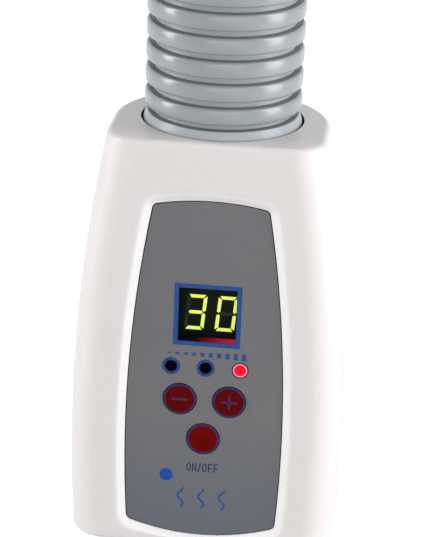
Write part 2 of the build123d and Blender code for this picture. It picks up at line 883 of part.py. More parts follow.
def ball_end(place):
    """Hollow ball on a neck, centred on a pivot, up to where the link's body starts."""
    skirt_radius = sqrt(ball_radius ** 2 - ball_skirt ** 2)
    neck_radius = ball_radius * sin(radians(ball_neck_angle))
    neck_height = ball_radius * cos(radians(ball_neck_angle))
    bore = link_bore_radius - 2.1
    skirt_end = (skirt_radius, 0, -ball_skirt)
    neck_start = (neck_radius, 0, neck_height)
    outline = [Line((bore, 0, -ball_skirt), skirt_end),
               ThreePointArc(skirt_end, (ball_radius, 0, 0), neck_start),
               Line(neck_start, (neck_radius, 0, neck_height + 0.4)),
               Line((neck_radius, 0, neck_height + 0.4), (link_radius, 0, link_end_length)),
               Line((link_radius, 0, link_end_length), (link_bore_radius, 0, link_end_length)),
               Line((link_bore_radius, 0, link_end_length), (bore, 0, link_end_length - 3)),
               Line((bore, 0, link_end_length - 3), (bore, 0, -ball_skirt))]
    return place.location * revolve(make_face(outline), Axis.Z)


def socket_end(place, low):
    """Cup centred on a pivot that holds the next link's ball."""
    inner = ball_radius + ball_gap
    lip_radius = sqrt(inner ** 2 - socket_lip ** 2)
    floor = -sqrt(inner ** 2 - link_bore_radius ** 2)
    outline = [Line((link_bore_radius, 0, low), (link_radius, 0, low)),
               Line((link_radius, 0, low), (link_radius, 0, 0.5)),
               Line((link_radius, 0, 0.5), (link_radius - 0.8, 0, socket_lip)),
               Line((link_radius - 0.8, 0, socket_lip), (lip_radius, 0, socket_lip)),
               ThreePointArc((lip_radius, 0, socket_lip), (inner, 0, 0), (link_bore_radius, 0, floor)),
               Line((link_bore_radius, 0, floor), (link_bore_radius, 0, low))]
    return place.location * revolve(make_face(outline), Axis.Z)


def locating_ring(s):
    outer = hose_bore_radius - link_ring_gap
    return tube(outer, link_radius - 1, -2.5, 2.5, hose_plane(s))


def link_between(s_low, s_high, middles):
    """Hollow body of a link through rings at its ends and on the centre line between."""
    low = hose_plane(s_low)
    high = hose_plane(s_high)
    outer = [ring_on(low, link_end_length, link_radius)]
    inner = [ring_on(low, link_end_length, link_bore_radius)]
    for s in middles:
        outer.append(ring_at(s, link_radius))
        inner.append(ring_at(s, link_bore_radius))
    outer.append(ring_on(high, -link_end_length, link_radius))
    inner.append(ring_on(high, -link_end_length, link_bore_radius))
    return loft(outer, ruled=True) - loft(inner, ruled=True)


def hose_link(k):
    """Link from pivot k to pivot k + 1."""
    s_low = pivots[k]
    s_high = pivots[k + 1]
    middle = (s_low + s_high) / 2
    link = link_between(s_low, s_high, [middle])
    link += ball_end(hose_plane(s_low))
    link += socket_end(hose_plane(s_high), -link_end_length)
    return link + locating_ring(middle)


def neck_base():
    """Flanged tube screwed under the housing's top, with the first socket on it."""
    flange_low = housing_top - flange_drop - flange_thickness
    flange_high = housing_top - flange_drop
    base = socket_end(hose_plane(pivots[0]), -pivots[0] - flange_drop - 6)
    reach = flange_ear_x + flange_ear_radius
    ears = block(-reach, reach, flange_ear_y - flange_ear_radius, flange_ear_y + flange_ear_radius,
                 flange_low, flange_high)
    plate = tube(flange_radius, 0, flange_low, flange_high) + ears
    plate -= tube(link_radius - 1, 0, flange_low - 1, flange_high + 1)
    hole = tube(shell_screw_radius + 0.35, 0, flange_low - 1, flange_high + 1)
    for side in (-1, 1):
        plate -= Pos(side * flange_ear_x, flange_ear_y, 0) * hole
    return base + plate + locating_ring(first_rib)


def hose_clamp():
    """Steel band that grips the hose's foot on the neck tube."""
    inner = hose_neck_radius + 0.85
    low = housing_top - hose_foot_depth + 1.0
    return tube(inner + clamp_thickness, inner, low, low + clamp_width)


# Lamp head on the hose's end
head = hose_plane(hose_length)
end_ring_s = hose_length - 8.0


def neck_end():
    """Last ball link, with a spigot through the head's neck."""
    s_low = pivots[-1]
    low = hose_plane(s_low)
    stations = [s_low + 26, end_ring_s, hose_length + head_spigot]
    outer = [ring_on(low, link_end_length, link_radius)]
    outer += [ring_at(s, link_radius) for s in stations]
    inner = [ring_on(low, link_end_length, link_bore_radius)]
    inner += [ring_at(s, link_bore_radius) for s in stations]
    link = loft(outer, ruled=True) - loft(inner, ruled=True)
    link += ball_end(low)
    return link + locating_ring(s_low + 26) + locating_ring(end_ring_s)


def neck_nut():
    nut = tube(link_radius + 4.4, link_radius + press_gap, 3.4, head_spigot - 3.6)
    for x, y in around(6, link_radius + 5.5):
        nut -= Pos(x, y, 0) * tube(2.4, 0, 3, head_spigot)
    return head.location * nut


def head_neck():
    """Cone between hose and lamp: a cup over the hose's end, a web and a screwed front."""
    outer = hose_outer_radius + body_gap + head_neck_wall
    front = cap_rear_radius
    end = head_neck_length
    cone = turned([(outer - 0.8, -head_neck_cup), (outer, -head_neck_cup + 1), (outer, 1), (front, end),
                   (22, end), (22, end - 4), (front - 5.2, end - 4), (outer - 3, 3.2),
                   (link_radius + screw_gap, 3.2),
                   (link_radius + screw_gap, 0.2), (hose_outer_radius + body_gap, 0.2),
                   (hose_outer_radius + body_gap, -head_neck_cup)])
    for x, y in around(3, head_screw_circle, 90):
        cone -= Pos(x, y, 0) * tube(head_screw_radius + press_gap, 0, end - 5, end + 1)
    return head.location * cone


def head_screws():
    screws = []
    end = head_neck_length
    for x, y in around(3, head_screw_circle, 90):
        screw = tube(head_screw_radius, 0, end - 3.6, end + cap_wall)
        screw += tube(head_screw_radius + 1.55, 0, end + cap_wall, end + cap_wall + 2)
        screws.append(head.location * Pos(x, y, 0) * screw)
    return Compound(children=screws)


def rear_cap():
    """Vented metal cap behind the shade, with a lip that carries the shade."""
    d = head_neck_length
    w = cap_wall
    rear = cap_rear_radius
    front = cap_front_radius
    lip = front - shade_wall - 0.1
    cap = turned([(12, d), (rear, d), (rear + 10, d + 3), (front - 6, d + 12), (front - 1.5, d + 23),
                  (front, cap_end), (lip, cap_end), (lip, cap_end + 5),
                  (front - shade_wall - w, cap_end + 5), (front - w - shade_wall, cap_end - 2),
                  (front - w, cap_end - 3), (front - 1.5 - w, d + 23.6), (front - 6 - w, d + 12.8),
                  (rear + 9.4, d + 3 + w), (rear, d + w), (12, d + w)])
    for x, y in around(3, head_screw_circle, 90):
        cap -= Pos(x, y, 0) * tube(head_screw_radius + 0.15, 0, d - 1, d + w + 1)
    slot = block(rear + 6, front + 2, -vent_width / 2, vent_width / 2, d + 1, d + 21)
    for k in range(vent_slots):
        cap -= Rot(0, 0, 360.0 * (k + 0.5) / vent_slots) * slot
    return head.location * cap


def shade():
    """Flared shade with a rolled bead round its mouth."""
    w = shade_wall
    rear = cap_front_radius
    mouth = shade_mouth_radius
    middle = (cap_end + shade_end) / 2
    bulge = (rear + mouth) / 2 + 3.2
    outline = [ThreePointArc((rear, 0, cap_end), (bulge, 0, middle), (mouth, 0, shade_end)),
               Line((mouth, 0, shade_end), (mouth - w, 0, shade_end)),
               ThreePointArc((mouth - w, 0, shade_end), (bulge - w, 0, middle), (rear - w, 0, cap_end)),
               Line((rear - w, 0, cap_end), (rear, 0, cap_end))]
    wall = revolve(make_face(outline), Axis.Z)
    bead_profile = Plane.XZ.location * Pos(mouth - w / 2, shade_end) * Circle(shade_bead_radius)
    return head.location * (wall + revolve(bead_profile, Axis.Z))


bulb_front = shade_end - bulb_setback
bulb_rear = bulb_front - bulb_length
bulb_neck = bulb_rear + bulb_cap_length
bulb_widest = bulb_front - bulb_lens_depth


def bulb_profile(inset):
    """Half profile of the glass from its neck to its widest circle."""
    r = bulb_radius
    span = bulb_widest - bulb_neck
    shape = [(0.24, 0.0), (0.27, 0.1), (0.33, 0.22), (0.50, 0.38), (0.70, 0.54), (0.86, 0.71), (0.96, 0.87),
             (1, 1)]
    return [(r * a - inset, bulb_neck + span * b) for a, b in shape]


def bulb_reflector():
    """Silvered back of the bulb."""
    return head.location * turned(bulb_profile(0) + bulb_profile(bulb_wall)[::-1])


def lens_profile(inset):
    depth = bulb_front - bulb_widest - inset
    radius = bulb_radius - inset
    turns = [0, 15, 30, 45, 60, 75]
    curve = [(radius * cos(radians(t)) ** 0.6, bulb_widest + depth * sin(radians(t))) for t in turns]
    return curve + [(0, bulb_widest + depth)]


def bulb_lens():
    """Red front of the bulb."""
    return head.location * turned(lens_profile(0) + lens_profile(bulb_wall)[::-1])


def bulb_screw_cap():
    """Screw shell of the bulb, with its centre contact."""
    r = bulb_cap_radius
    profile = [(0, bulb_rear), (4.5, bulb_rear), (5, bulb_rear + 1.5), (9.5, bulb_rear + 3),
               (r - 1, bulb_rear + 5)]
    turns = 5
    pitch = 3.0
    for k in range(turns):
        d = bulb_rear + 5 + pitch * k
        profile += [(r, d + pitch / 2), (r - 1, d + pitch)]
    profile += [(r - 0.3, bulb_neck - 0.4), (r - 0.3, bulb_neck), (0, bulb_neck)]
    return head.location * turned(profile)


def bulb_filament():
    """Glass stem and coil carrier inside the bulb."""
    stem = tube(6, 0, bulb_neck, bulb_neck + 30)
    post_a = Pos(-9, 0, 0) * tube(0.7, 0, bulb_neck + 26, bulb_neck + 52)
    post_b = Pos(9, 0, 0) * tube(0.7, 0, bulb_neck + 26, bulb_neck + 52)
    bar = block(-10, 10, -1, 1, bulb_neck + 26, bulb_neck + 28)
    coil = block(-10, 10, -1.4, 1.4, bulb_neck + 50, bulb_neck + 53)
    return head.location * (stem + post_a + post_b + bar + coil)


holder_low = head_neck_length + cap_wall
holder_floor = bulb_rear - 4.0


def lampholder():
    """Ceramic screw lampholder."""
    inner = lampholder_radius - lampholder_wall
    top = bulb_neck - 2.5
    return head.location * turned([(0, holder_low), (lampholder_radius - 2, holder_low),
                                   (lampholder_radius, holder_low + 3), (lampholder_radius, top),
                                   (inner, top), (inner, holder_floor), (0, holder_floor)])


def lampholder_contacts():
    """Threaded brass shell inside the ceramic, and the sprung contact under the bulb's cap."""
    outer = lampholder_radius - lampholder_wall - 0.1
    inner = bulb_cap_radius + 0.35
    shell = tube(outer, inner, holder_floor + 2, bulb_neck - 4)
    leaf = block(-9, 4, -2.5, 2.5, holder_floor, holder_floor + 0.6)
    rise = block(-3, 3, -2.5, 2.5, holder_floor + 0.6, bulb_rear)
    return Compound(children=[head.location * shell, head.location * (leaf + rise)])


def rod(start, end, radius):
    """Straight wire between two points."""
    a = Vector(*start)
    b = Vector(*end)
    way = b - a
    place = Plane(origin=a, z_dir=way)
    return place.location * Pos(0, 0, way.length / 2) * Cylinder(radius, way.length)


bead_inner = shade_mouth_radius - shade_wall / 2 - shade_bead_radius
guard_outer = bead_inner - guard_wire_radius - 0.6
guard_rings = [(guard_outer, shade_end - 3), (guard_outer * 0.66, shade_end),
               (guard_outer * 0.32, shade_end + 1.4)]


def wire_ring(radius, d, wire):
    """Ring of wire, eight-sided in section."""
    turns = [radians(22.5 + 45 * k) for k in range(8)]
    return turned([(radius + wire * cos(t), d + wire * sin(t)) for t in turns])


def wire_guard():
    """Wire guard over the mouth: three rings joined by spokes."""
    guard = Part()
    for radius, d in guard_rings:
        guard += wire_ring(radius, d, guard_wire_radius)
    for k in range(guard_spokes):
        t = radians(360.0 * k / guard_spokes)
        spots = [(r * cos(t), r * sin(t), d) for r, d in guard_rings]
        guard += rod(spots[0], spots[1], guard_wire_radius * 0.9)
        guard += rod(spots[1], spots[2], guard_wire_radius * 0.9)
    return head.location * guard


def guard_clips():
    """Three clips that hold the guard's outer ring inside the mouth."""
    radius, d = guard_rings[0]
    inside = bead_inner - 0.25
    groove = wire_ring(radius, d, guard_wire_radius + 0.05)
    clips = []
    for k in range(guard_clip_count):
        clip = block(radius - 2, inside, -4, 4, d - 2.6, d + 2.6)
        clip = Rot(0, 0, guard_clip_start + 360.0 * k / guard_clip_count) * clip
        clips.append(head.location * (clip - groove))
    return Compound(children=clips)


front_shell, rear_shell = housing_shells()

pieces = {
    "base_pad": base_pad(),
    "base_plate": base_plate(),
    "base_weight": base_weight(),
    "base_cover": base_cover(),
    "base_screws": base_screws(),
    "stem_foot": stem_foot(),
    "stem_outer_tube": stem_outer_tube(),
    "stem_trim_ring": stem_trim_ring(),
    "stem_bush": stem_bush(),
    "stem_collar": stem_collar(),
    "clamp_knob": clamp_knob(),
    "stem_inner_tube": stem_inner_tube(),
    "stem_socket": stem_socket(),
    "stem_screws": stem_screws(),
    "front_shell": front_shell,
    "rear_shell": rear_shell,
    "housing_screws": housing_screws(),
    "control_panel": control_panel(),
    "key_switches": key_switches(),
    "display_module": display_module(),
    "indicator_leds": indicator_leds(),
    "control_board": control_board(),
    "board_screws": board_screws(),
    "buzzer": buzzer(),
    "power_board": power_board(),
    "transformer": transformer(),
    "heat_sink": heat_sink(),
    "terminal_block": terminal_block(),
    "mains_inlet": mains_inlet(),
    "neck_base": neck_base(),
    "hose_clamp": hose_clamp(),
    "neck_end": neck_end(),
    "neck_nut": neck_nut(),
    "head_neck": head_neck(),
    "head_screws": head_screws(),
    "rear_cap": rear_cap(),
    "shade": shade(),
    "bulb_reflector": bulb_reflector(),
    "bulb_lens": bulb_lens(),
    "bulb_screw_cap": bulb_screw_cap(),
    "bulb_filament": bulb_filament(),
    "lampholder": lampholder(),
    "lampholder_contacts": lampholder_contacts(),
    "wire_guard": wire_guard(),
    "guard_clips": guard_clips(),
}

for name, (x, drop) in key_places().items():
    pieces[name] = key_cap(x, drop)

for k in range(pivot_count - 1):
    pieces["hose_link_" + str(k + 1)] = hose_link(k)

pieces["hose_sleeve_0"] = foot_sleeve(pivot_ribs[0] - 1)
sleeve_ends = pivot_ribs + [rib_count]
for k in range(pivot_count):
    pieces["hose_sleeve_" + str(k + 1)] = sleeve(sleeve_ends[k] + 1, sleeve_ends[k + 1] - 1)

for name, piece in pieces.items():
    save(name, piece)
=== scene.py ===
from math import acos, atan2, copysign, cos, hypot, pi, radians, sin, sqrt, tan

import bmesh
import bpy
from mathutils import Matrix, Vector


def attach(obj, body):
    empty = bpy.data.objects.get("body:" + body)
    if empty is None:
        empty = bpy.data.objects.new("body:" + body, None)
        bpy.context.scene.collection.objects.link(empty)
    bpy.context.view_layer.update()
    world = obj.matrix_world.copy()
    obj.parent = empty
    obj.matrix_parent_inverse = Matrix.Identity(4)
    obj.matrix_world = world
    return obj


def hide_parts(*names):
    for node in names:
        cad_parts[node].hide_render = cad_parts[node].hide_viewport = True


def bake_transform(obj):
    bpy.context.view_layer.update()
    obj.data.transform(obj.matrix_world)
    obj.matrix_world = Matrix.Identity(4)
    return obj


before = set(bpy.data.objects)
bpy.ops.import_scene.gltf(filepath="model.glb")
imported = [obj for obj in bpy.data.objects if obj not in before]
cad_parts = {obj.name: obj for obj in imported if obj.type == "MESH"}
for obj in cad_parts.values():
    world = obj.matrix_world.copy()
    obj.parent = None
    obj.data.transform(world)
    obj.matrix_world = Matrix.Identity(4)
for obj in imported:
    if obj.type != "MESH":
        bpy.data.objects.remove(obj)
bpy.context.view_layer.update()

# Sizes are in millimetres and meshes are written in metres. A drop is a depth below the housing's top.
MM = 0.001
HOUSING_TOP = 280
HOUSING_HEIGHT = 140
WIDEST_DROP = 103
WIDEST_HALF = 44.6
NARROWER_AT_TOP = 9.9
FRONT_Y = -29.3
BACK_Y = 30.5
SEAM_Y = 4
FRONT_CORNER = 11
REAR_CORNER = 33
WALL = 2.4
HOSE_HOLE_RADIUS = 26.35
STEM_HOLE_RADIUS = 13
SHELL_SCREW_DROPS = (30, 118)
INLET_DROP = 119

PANEL_Y = -28
RECESS_Y = -27
FLOOR_BACK_Y = -24.7
DISPLAY_Y = -24.4
IN_FRONT_Y = -31
PANEL_INSET = 0.14
PANEL_CORNER = 1.2
PRINT_BACK = PANEL_Y - 0.005
PRINT_FRONT = PANEL_Y - 0.035
WINDOW_WIDTH = 18.8
WINDOW_HEIGHT = 18.4
WINDOW_Z = HOUSING_TOP - 58
LED_PLACES = [(-11.2, 76.2), (0, 76.2), (11.2, 76.2)]
KEY_PLACES = {"minus_key": (-8.05, 87.6), "plus_key": (8.05, 87.6), "power_key": (0, 101.3)}
KEY_BODIES = {"minus_key": "minus_button", "plus_key": "plus_button", "power_key": "power_button"}
KEY_FACE_Y = PANEL_Y - 0.5
KEY_PRINT_RADIUS = 4.72

HOSE_STRAIGHT = 114
HOSE_BEND = 120
HOSE_LENGTH = 330.05
HOSE_END = 330
HOSE_BORE = 20.3
HOSE_SEGMENTS = 88
NECK_RADIUS = 22.3
RIB_PITCH = 7.6
FIRST_RIB = 7.3
RIB_COUNT = 43
RIBS_IN_FIRST = 8
RIBS_PER_STRETCH = 6
PIVOTS = [46 + RIBS_PER_STRETCH * RIB_PITCH * k for k in range(6)]

# Turned places: the Z axis of the first two points to the front and to the rear
TOWARDS_FRONT = Matrix(((1, 0, 0), (0, 0, -1), (0, 1, 0)))
TOWARDS_REAR = Matrix(((-1, 0, 0), (0, 0, 1), (0, 1, 0)))
UPRIGHT = Matrix.Identity(4)


def placed(rotation, x, y, z):
    place = rotation.to_4x4()
    place.translation = Vector((x, y, z))
    return place


def on_panel(x, drop):
    """Place behind a point of the panel, at y = 0, with its Z axis towards the user."""
    return placed(TOWARDS_FRONT, x, 0, HOUSING_TOP - drop)


# Outlines: lists of two-dimensional points
def even_steps(start, turn, count):
    """Angles in degrees at even steps, without the last one."""
    return [start + turn * k / count for k in range(count)]


def oval(x, y, across, upward, angles):
    """Points of an ellipse at angles in degrees."""
    return [(x + across * cos(radians(t)), y + upward * sin(radians(t))) for t in angles]


def circle(x, y, radius, segments=64):
    return oval(x, y, radius, radius, even_steps(0, 360, segments))


def turn_between(start, end):
    """Signed angle from one direction to another, the shorter way round."""
    return (end - start + pi) % (2 * pi) - pi


def circle_through(a, b, c):
    """Centre and radius of the circle through three points."""
    (ax, ay), (bx, by), (cx, cy) = a, b, c
    a2, b2, c2 = ax * ax + ay * ay, bx * bx + by * by, cx * cx + cy * cy
    area = 2 * (ax * (by - cy) + bx * (cy - ay) + cx * (ay - by))
    x = (a2 * (by - cy) + b2 * (cy - ay) + c2 * (ay - by)) / area
    y = (a2 * (cx - bx) + b2 * (ax - cx) + c2 * (bx - ax)) / area
    return x, y, hypot(ax - x, ay - y)


def arc_through(a, b, c):
    """Arc from a over b to c as centre, radius, first angle and signed turn."""
    x, y, radius = circle_through(a, b, c)
    first, middle, last = (atan2(py - y, px - x) for px, py in (a, b, c))
    return x, y, radius, first, turn_between(first, middle) + turn_between(middle, last)


def corner_arc(before, corner, after, radius, steps):
    """Arc in place of a corner, or the corner itself where it is nearly straight."""
    p = Vector(corner)
    a, b = Vector(before) - p, Vector(after) - p
    longest = 0.48 * min(a.length, b.length)
    a.normalize()
    b.normalize()
    half = acos(max(-1, min(1, a.dot(b)))) / 2
    if half > radians(88):
        return [corner]
    reach = min(radius / tan(half), longest)
    r = reach * tan(half)
    centre = p + (a + b).normalized() * (r / sin(half))
    start = p + a * reach - centre
    end = p + b * reach - centre
    first = atan2(start.y, start.x)
    turn = turn_between(first, atan2(end.y, end.x))
    angles = [first + turn * k / steps for k in range(steps + 1)]
    return [(centre.x + r * cos(t), centre.y + r * sin(t)) for t in angles]


def rounded(points, radii, steps=6, closed=False):
    """Path with rounded corners, from a list of radii or one radius for all."""
    count = len(points)
    if not isinstance(radii, list):
        radii = [radii] * count
    out = []
    for k, (point, radius) in enumerate(zip(points, radii)):
        if radius <= 0 or (not closed and k in (0, count - 1)):
            out.append(point)
        else:
            out += corner_arc(points[k - 1], point, points[(k + 1) % count], radius, steps)
    return out


def rectangle(x0, x1, z0, z1, corner=0, steps=3):
    return rounded([(x0, z0), (x1, z0), (x1, z1), (x0, z1)], corner, steps, closed=True)


def about(x, z, width, height, corner=0, steps=3):
    """Rectangle about its middle."""
    return rectangle(x - width / 2, x + width / 2, z - height / 2, z + height / 2, corner, steps)


def moved(outline, x, z):
    return [(x + dx, z + dz) for dx, dz in outline]


def round_edge(size, angles):
    """Pairs (depth, inset) along a rounded edge, from its side at 0 degrees to its face at 90."""
    return [(size * (1 - sin(radians(t))), size * (1 - cos(radians(t)))) for t in angles]


# Meshes
def new_object(name, data):
    obj = bpy.data.objects.new(name, data)
    bpy.context.scene.collection.objects.link(obj)
    return obj


def finish_object(name, mesh, body, mat, node=None, slot=None, sharp=38):
    """Links a mesh, shades it smooth up to an angle, and lets it ride on its body."""
    mesh.validate()
    obj = new_object(name, mesh)
    if mat is not None and not mesh.materials:
        mesh.materials.append(mat)
    for poly in mesh.polygons:
        poly.use_smooth = True
    mesh.set_sharp_from_angle(angle=radians(sharp))
    if body is not None:
        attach(obj, body)
    if node:
        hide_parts(node)
    return obj


def level_normals(obj):
    """Normals that keep the flat faces of a piece flat."""
    level = obj.modifiers.new("normals", "WEIGHTED_NORMAL")
    level.keep_sharp = True
    level.weight = 90


def soften(obj):
    """Rounds the sharper edges of a piece."""
    bevel = obj.modifiers.new("edges", "BEVEL")
    bevel.width = 0.3 * MM
    bevel.segments = 2
    bevel.limit_method = "ANGLE"
    bevel.angle_limit = radians(35)
    level_normals(obj)


def mesh_of(name, verts, faces):
    """Mesh in metres with doubled points merged and its faces turned outwards."""
    mesh = bpy.data.meshes.new(name)
    mesh.from_pydata([tuple(c * MM for c in v) for v in verts], [], faces)
    bm = bmesh.new()
    bm.from_mesh(mesh)
    bmesh.ops.remove_doubles(bm, verts=bm.verts, dist=1e-7)
    bmesh.ops.recalc_face_normals(bm, faces=bm.faces)
    bm.to_mesh(mesh)
    bm.free()
    return mesh


def ring(place, radius, height, segments):
    """Circle about the place's Z axis."""
    return [place @ Vector((x, y, height)) for x, y in circle(0, 0, radius, segments)]


def flat(outline, y):
    """Outline of (x, z) points at a distance from front to rear."""
    return [Vector((x, y, z)) for x, z in outline]


def stacked(rings, capped=True, loop=False):
    """Vertices and faces of a skin over rings with the same number of points."""
    n = len(rings[0])
    verts = [point for points in rings for point in points]
    starts = [n * k for k in range(len(rings))]
    nexts = starts[1:] + starts[:1] if loop else starts[1:]
    faces = []
    for a, b in zip(starts, nexts):
        faces += [(a + j, a + (j + 1) % n, b + (j + 1) % n, b + j) for j in range(n)]
    if capped and not loop:
        faces.append(tuple(range(n)))
        faces.append(tuple(range(starts[-1], starts[-1] + n)))
    return verts, faces


def merged(parts):
    """Vertices and faces of several skins as one."""
    verts, faces = [], []
    for part_verts, part_faces in parts:
        faces += [tuple(i + len(verts) for i in face) for face in part_faces]
        verts += part_verts
    return verts, faces


def turned(name, profile, place, segments, **options):
    """Turned mesh about the place's Z axis from (radius, height) points."""
    rings = [ring(place, radius, height, segments) for radius, height in profile]
    return mesh_of(name, *stacked(rings, **options))


def lathe(name, profile, place, body, mat, node=None, slot=None, segments=120, closed=True):
    """Turned piece. A closed profile is a loop; an open one begins and ends on the axis."""
    mesh = turned(name, profile, place, segments, capped=False, loop=closed)
    return finish_object(name, mesh, body, mat, node, slot)


def plates(name, outlines, back, front, body, mat, **options):
    """One piece of several flat plates."""
    parts = [stacked([flat(outline, back), flat(outline, front)]) for outline in outlines]
    return finish_object(name, mesh_of(name, *merged(parts)), body, mat, **options)


def bands(name, pairs, back, front, body, mat):
    """One piece of flat frames, each between an outer and an inner outline with as many points."""
    parts = []
    for outer, inner in pairs:
        rings = [flat(outer, back), flat(outer, front), flat(inner, front), flat(inner, back)]
        parts.append(stacked(rings, loop=True))
    return finish_object(name, mesh_of(name, *merged(parts)), body, mat)


def cylinder_mesh(place, radius, low, high, segments=40):
    return turned("cylinder", [(radius, low), (radius, high)], place, segments)


def box_mesh(low, high):
    (x0, y0, z0), (x1, y1, z1) = low, high
    corners = [(x0, y0), (x1, y0), (x1, y1), (x0, y1)]
    return mesh_of("box", *stacked([[Vector((x, y, z)) for x, y in corners] for z in (z0, z1)]))


def cut(mesh, cutters, operation="DIFFERENCE"):
    """Mesh with the cutter meshes taken away from it, or joined to it by UNION."""
    work = new_object("cut_work", mesh)
    tools = [new_object("cut_tool", cutter) for cutter in cutters]
    for tool in tools:
        modifier = work.modifiers.new("cut", "BOOLEAN")
        modifier.operation = operation
        modifier.solver = "EXACT"
        modifier.object = tool
    bpy.context.view_layer.update()
    graph = bpy.context.evaluated_depsgraph_get()
    made = bpy.data.meshes.new_from_object(work.evaluated_get(graph))
    for obj in [work] + tools:
        bpy.data.objects.remove(obj)
    return made


# Shader nodes
def linear(rgb):
    """Scene colour of a colour as a screen shows it, each channel from 0 to 255."""
    def one(c):
        c /= 255
        return c / 12.92 if c <= 0.04045 else ((c + 0.055) / 1.055) ** 2.4
    return tuple(one(c) for c in rgb) + (1,)


def feed(tree, socket, value):
    """Gives a socket a value or the output of another node."""
    if isinstance(value, bpy.types.NodeSocket):
        tree.links.new(value, socket)
    else:
        socket.default_value = value


def put(tree, kind, inputs=None, **settings):
    """New shader node with its settings and what goes into it."""
    node = tree.nodes.new("ShaderNode" + kind)
    for key, value in settings.items():
        setattr(node, key, value)
    for key, value in (inputs or {}).items():
        feed(tree, node.inputs[key], value)
    return node


def map_range(tree, value, start, end, low, high, **settings):
    """Runs from low to high while the value runs from start to end."""
    inputs = {"Value": value, "From Min": start, "From Max": end, "To Min": low, "To Max": high}
    return put(tree, "MapRange", inputs, **settings).outputs["Result"]


def highest(tree, a, b):
    return put(tree, "Math", {0: a, 1: b}, operation="MAXIMUM").outputs[0]


def seen_directly(tree):
    """One for rays of the camera and those passed on by glass or a mirror, else nought."""
    path = put(tree, "LightPath").outputs
    seen = highest(tree, path["Is Camera Ray"], path["Is Transmission Ray"])
    return highest(tree, seen, path["Is Glossy Ray"])


class Surface:
    """A principled material whose colour, roughness and relief vary over the surface."""

    def __init__(self, name, colour, roughness, metallic=0, specular=0.5, coat=(0, 0.03)):
        self.mat = bpy.data.materials.new(name)
        self.mat.use_nodes = True
        self.tree = self.mat.node_tree
        self.inputs = self.tree.nodes["Principled BSDF"].inputs
        self.where = put(self.tree, "TexCoord").outputs
        self.inputs["Base Color"].default_value = linear(colour)
        self.inputs["Roughness"].default_value = roughness
        self.inputs["Metallic"].default_value = metallic
        self.inputs["Specular IOR Level"].default_value = specular
        self.inputs["Coat Weight"].default_value, self.inputs["Coat Roughness"].default_value = coat

    def noise(self, scale, detail, stretch=None):
        where = self.where["Object"]
        if stretch:
            where = put(self.tree, "Mapping", {"Vector": where, "Scale": stretch}).outputs["Vector"]
        return put(self.tree, "TexNoise", {"Scale": scale, "Detail": detail, "Vector": where}).outputs["Fac"]

    def patches(self, low, high, scale, detail, stretch=None, start=0.3, end=0.7):
        """Values between low and high in soft patches."""
        return map_range(self.tree, self.noise(scale, detail, stretch), start, end, low, high)

    def blend(self, colour, factor):
        """Mixes another colour into the colour so far."""
        socket = self.inputs["Base Color"]
        so_far = socket.links[0].from_socket if socket.is_linked else tuple(socket.default_value)
        mix = put(self.tree, "Mix", {0: factor, 6: so_far, 7: linear(colour)}, data_type="RGBA")
        feed(self.tree, socket, mix.outputs[2])

    def vary_colour(self, other, scale, amount=1, detail=3, stretch=None, start=0.3, end=0.7):
        self.blend(other, self.patches(0, amount, scale, detail, stretch, start, end))

    def fade_colour(self, other, axis, start, end, amount=1, of="Object"):
        """Mixes in another colour along an axis of the place on the object, or of its Normal."""
        split = put(self.tree, "SeparateXYZ", {0: self.where[of]})
        self.blend(other, map_range(self.tree, split.outputs[axis], start, end, 0, amount))

    def vary_roughness(self, low, high, scale, stretch=None):
        feed(self.tree, self.inputs["Roughness"], self.patches(low, high, scale, 4, stretch))

    def grain(self, scale, distance, strength=1, detail=2, stretch=None):
        """Adds fine relief to the relief so far."""
        normal = self.inputs["Normal"]
        inputs = {"Strength": strength, "Distance": distance, "Height": self.noise(scale, detail, stretch)}
        if normal.is_linked:
            inputs["Normal"] = normal.links[0].from_socket
        feed(self.tree, normal, put(self.tree, "Bump", inputs).outputs["Normal"])

    def wear_edges(self, colour):
        """Another colour along convex edges, broken up by noise."""
        pointed = put(self.tree, "NewGeometry").outputs["Pointiness"]
        edge = map_range(self.tree, pointed, 0.53, 0.62, 0, 1)
        patch = self.patches(0, 0.6, 260, 4, None, 0.45, 0.65)
        self.blend(colour, put(self.tree, "Math", {0: edge, 1: patch}, operation="MULTIPLY").outputs[0])

    def glow(self, light, strength):
        """Gives the surface a light of its own."""
        feed(self.tree, self.inputs["Emission Color"], linear(light))
        feed(self.tree, self.inputs["Emission Strength"], strength)


def surface(name, colour, roughness, *patches, fade=None, worn=None, rough=None, grains=(), **options):
    """Material from tuples of arguments for Surface's methods, in the order in which they run."""
    s = Surface(name, colour, roughness, **options)
    for patch in patches:
        s.vary_colour(*patch)
    if fade:
        s.fade_colour(*fade)
    if worn:
        s.wear_edges(worn)
    if rough:
        s.vary_roughness(*rough)
    for grain in grains:
        s.grain(*grain)
    return s.mat


# Materials
def moulded_white(name, colour, patch, roughness):
    darker = tuple(c - 5 for c in colour)
    return surface(name, colour, roughness, (patch, 14, 0.55, 2),
                   (darker, 900, 0.5, 2, None, 0.45, 0.75), rough=(roughness - 0.05, roughness + 0.08, 60),
                   grains=[(1400, 6e-5, 0.35), (90, 0.0001, 0.12)], specular=0.45)


def rim_with_painted_highlight():
    """Smoother white of the slope round the panel with a painted highlight: lighter where the slope faces up
    or sideways, plain where it faces the front.
    """
    s = Surface("rim_painted_highlight", (228, 223, 223), 0.3, specular=0.45)
    # Painted highlight: lighter white where the slope faces up or sideways, as if lit there.
    s.fade_colour((250, 248, 247), "Z", -0.55, -0.05, of="Normal")
    s.vary_colour((244, 240, 240), 60, 0.3, 2)
    s.fade_colour((231, 226, 225), "Y", -0.95, -0.998, of="Normal")
    s.vary_roughness(0.26, 0.32, 90)
    return s.mat


def ink(name, colour, other):
    return surface(name, colour, 0.5, (other, 500, 0.9, 4), grains=[(2400, 2e-5, 0.4)], specular=0.1)


def glowing(name, light, colour, strength, other):
    s = Surface(name, colour, 0.6, specular=0.1)
    s.vary_colour(other, 400, 0.8)
    s.glow(light, strength)
    return s.mat


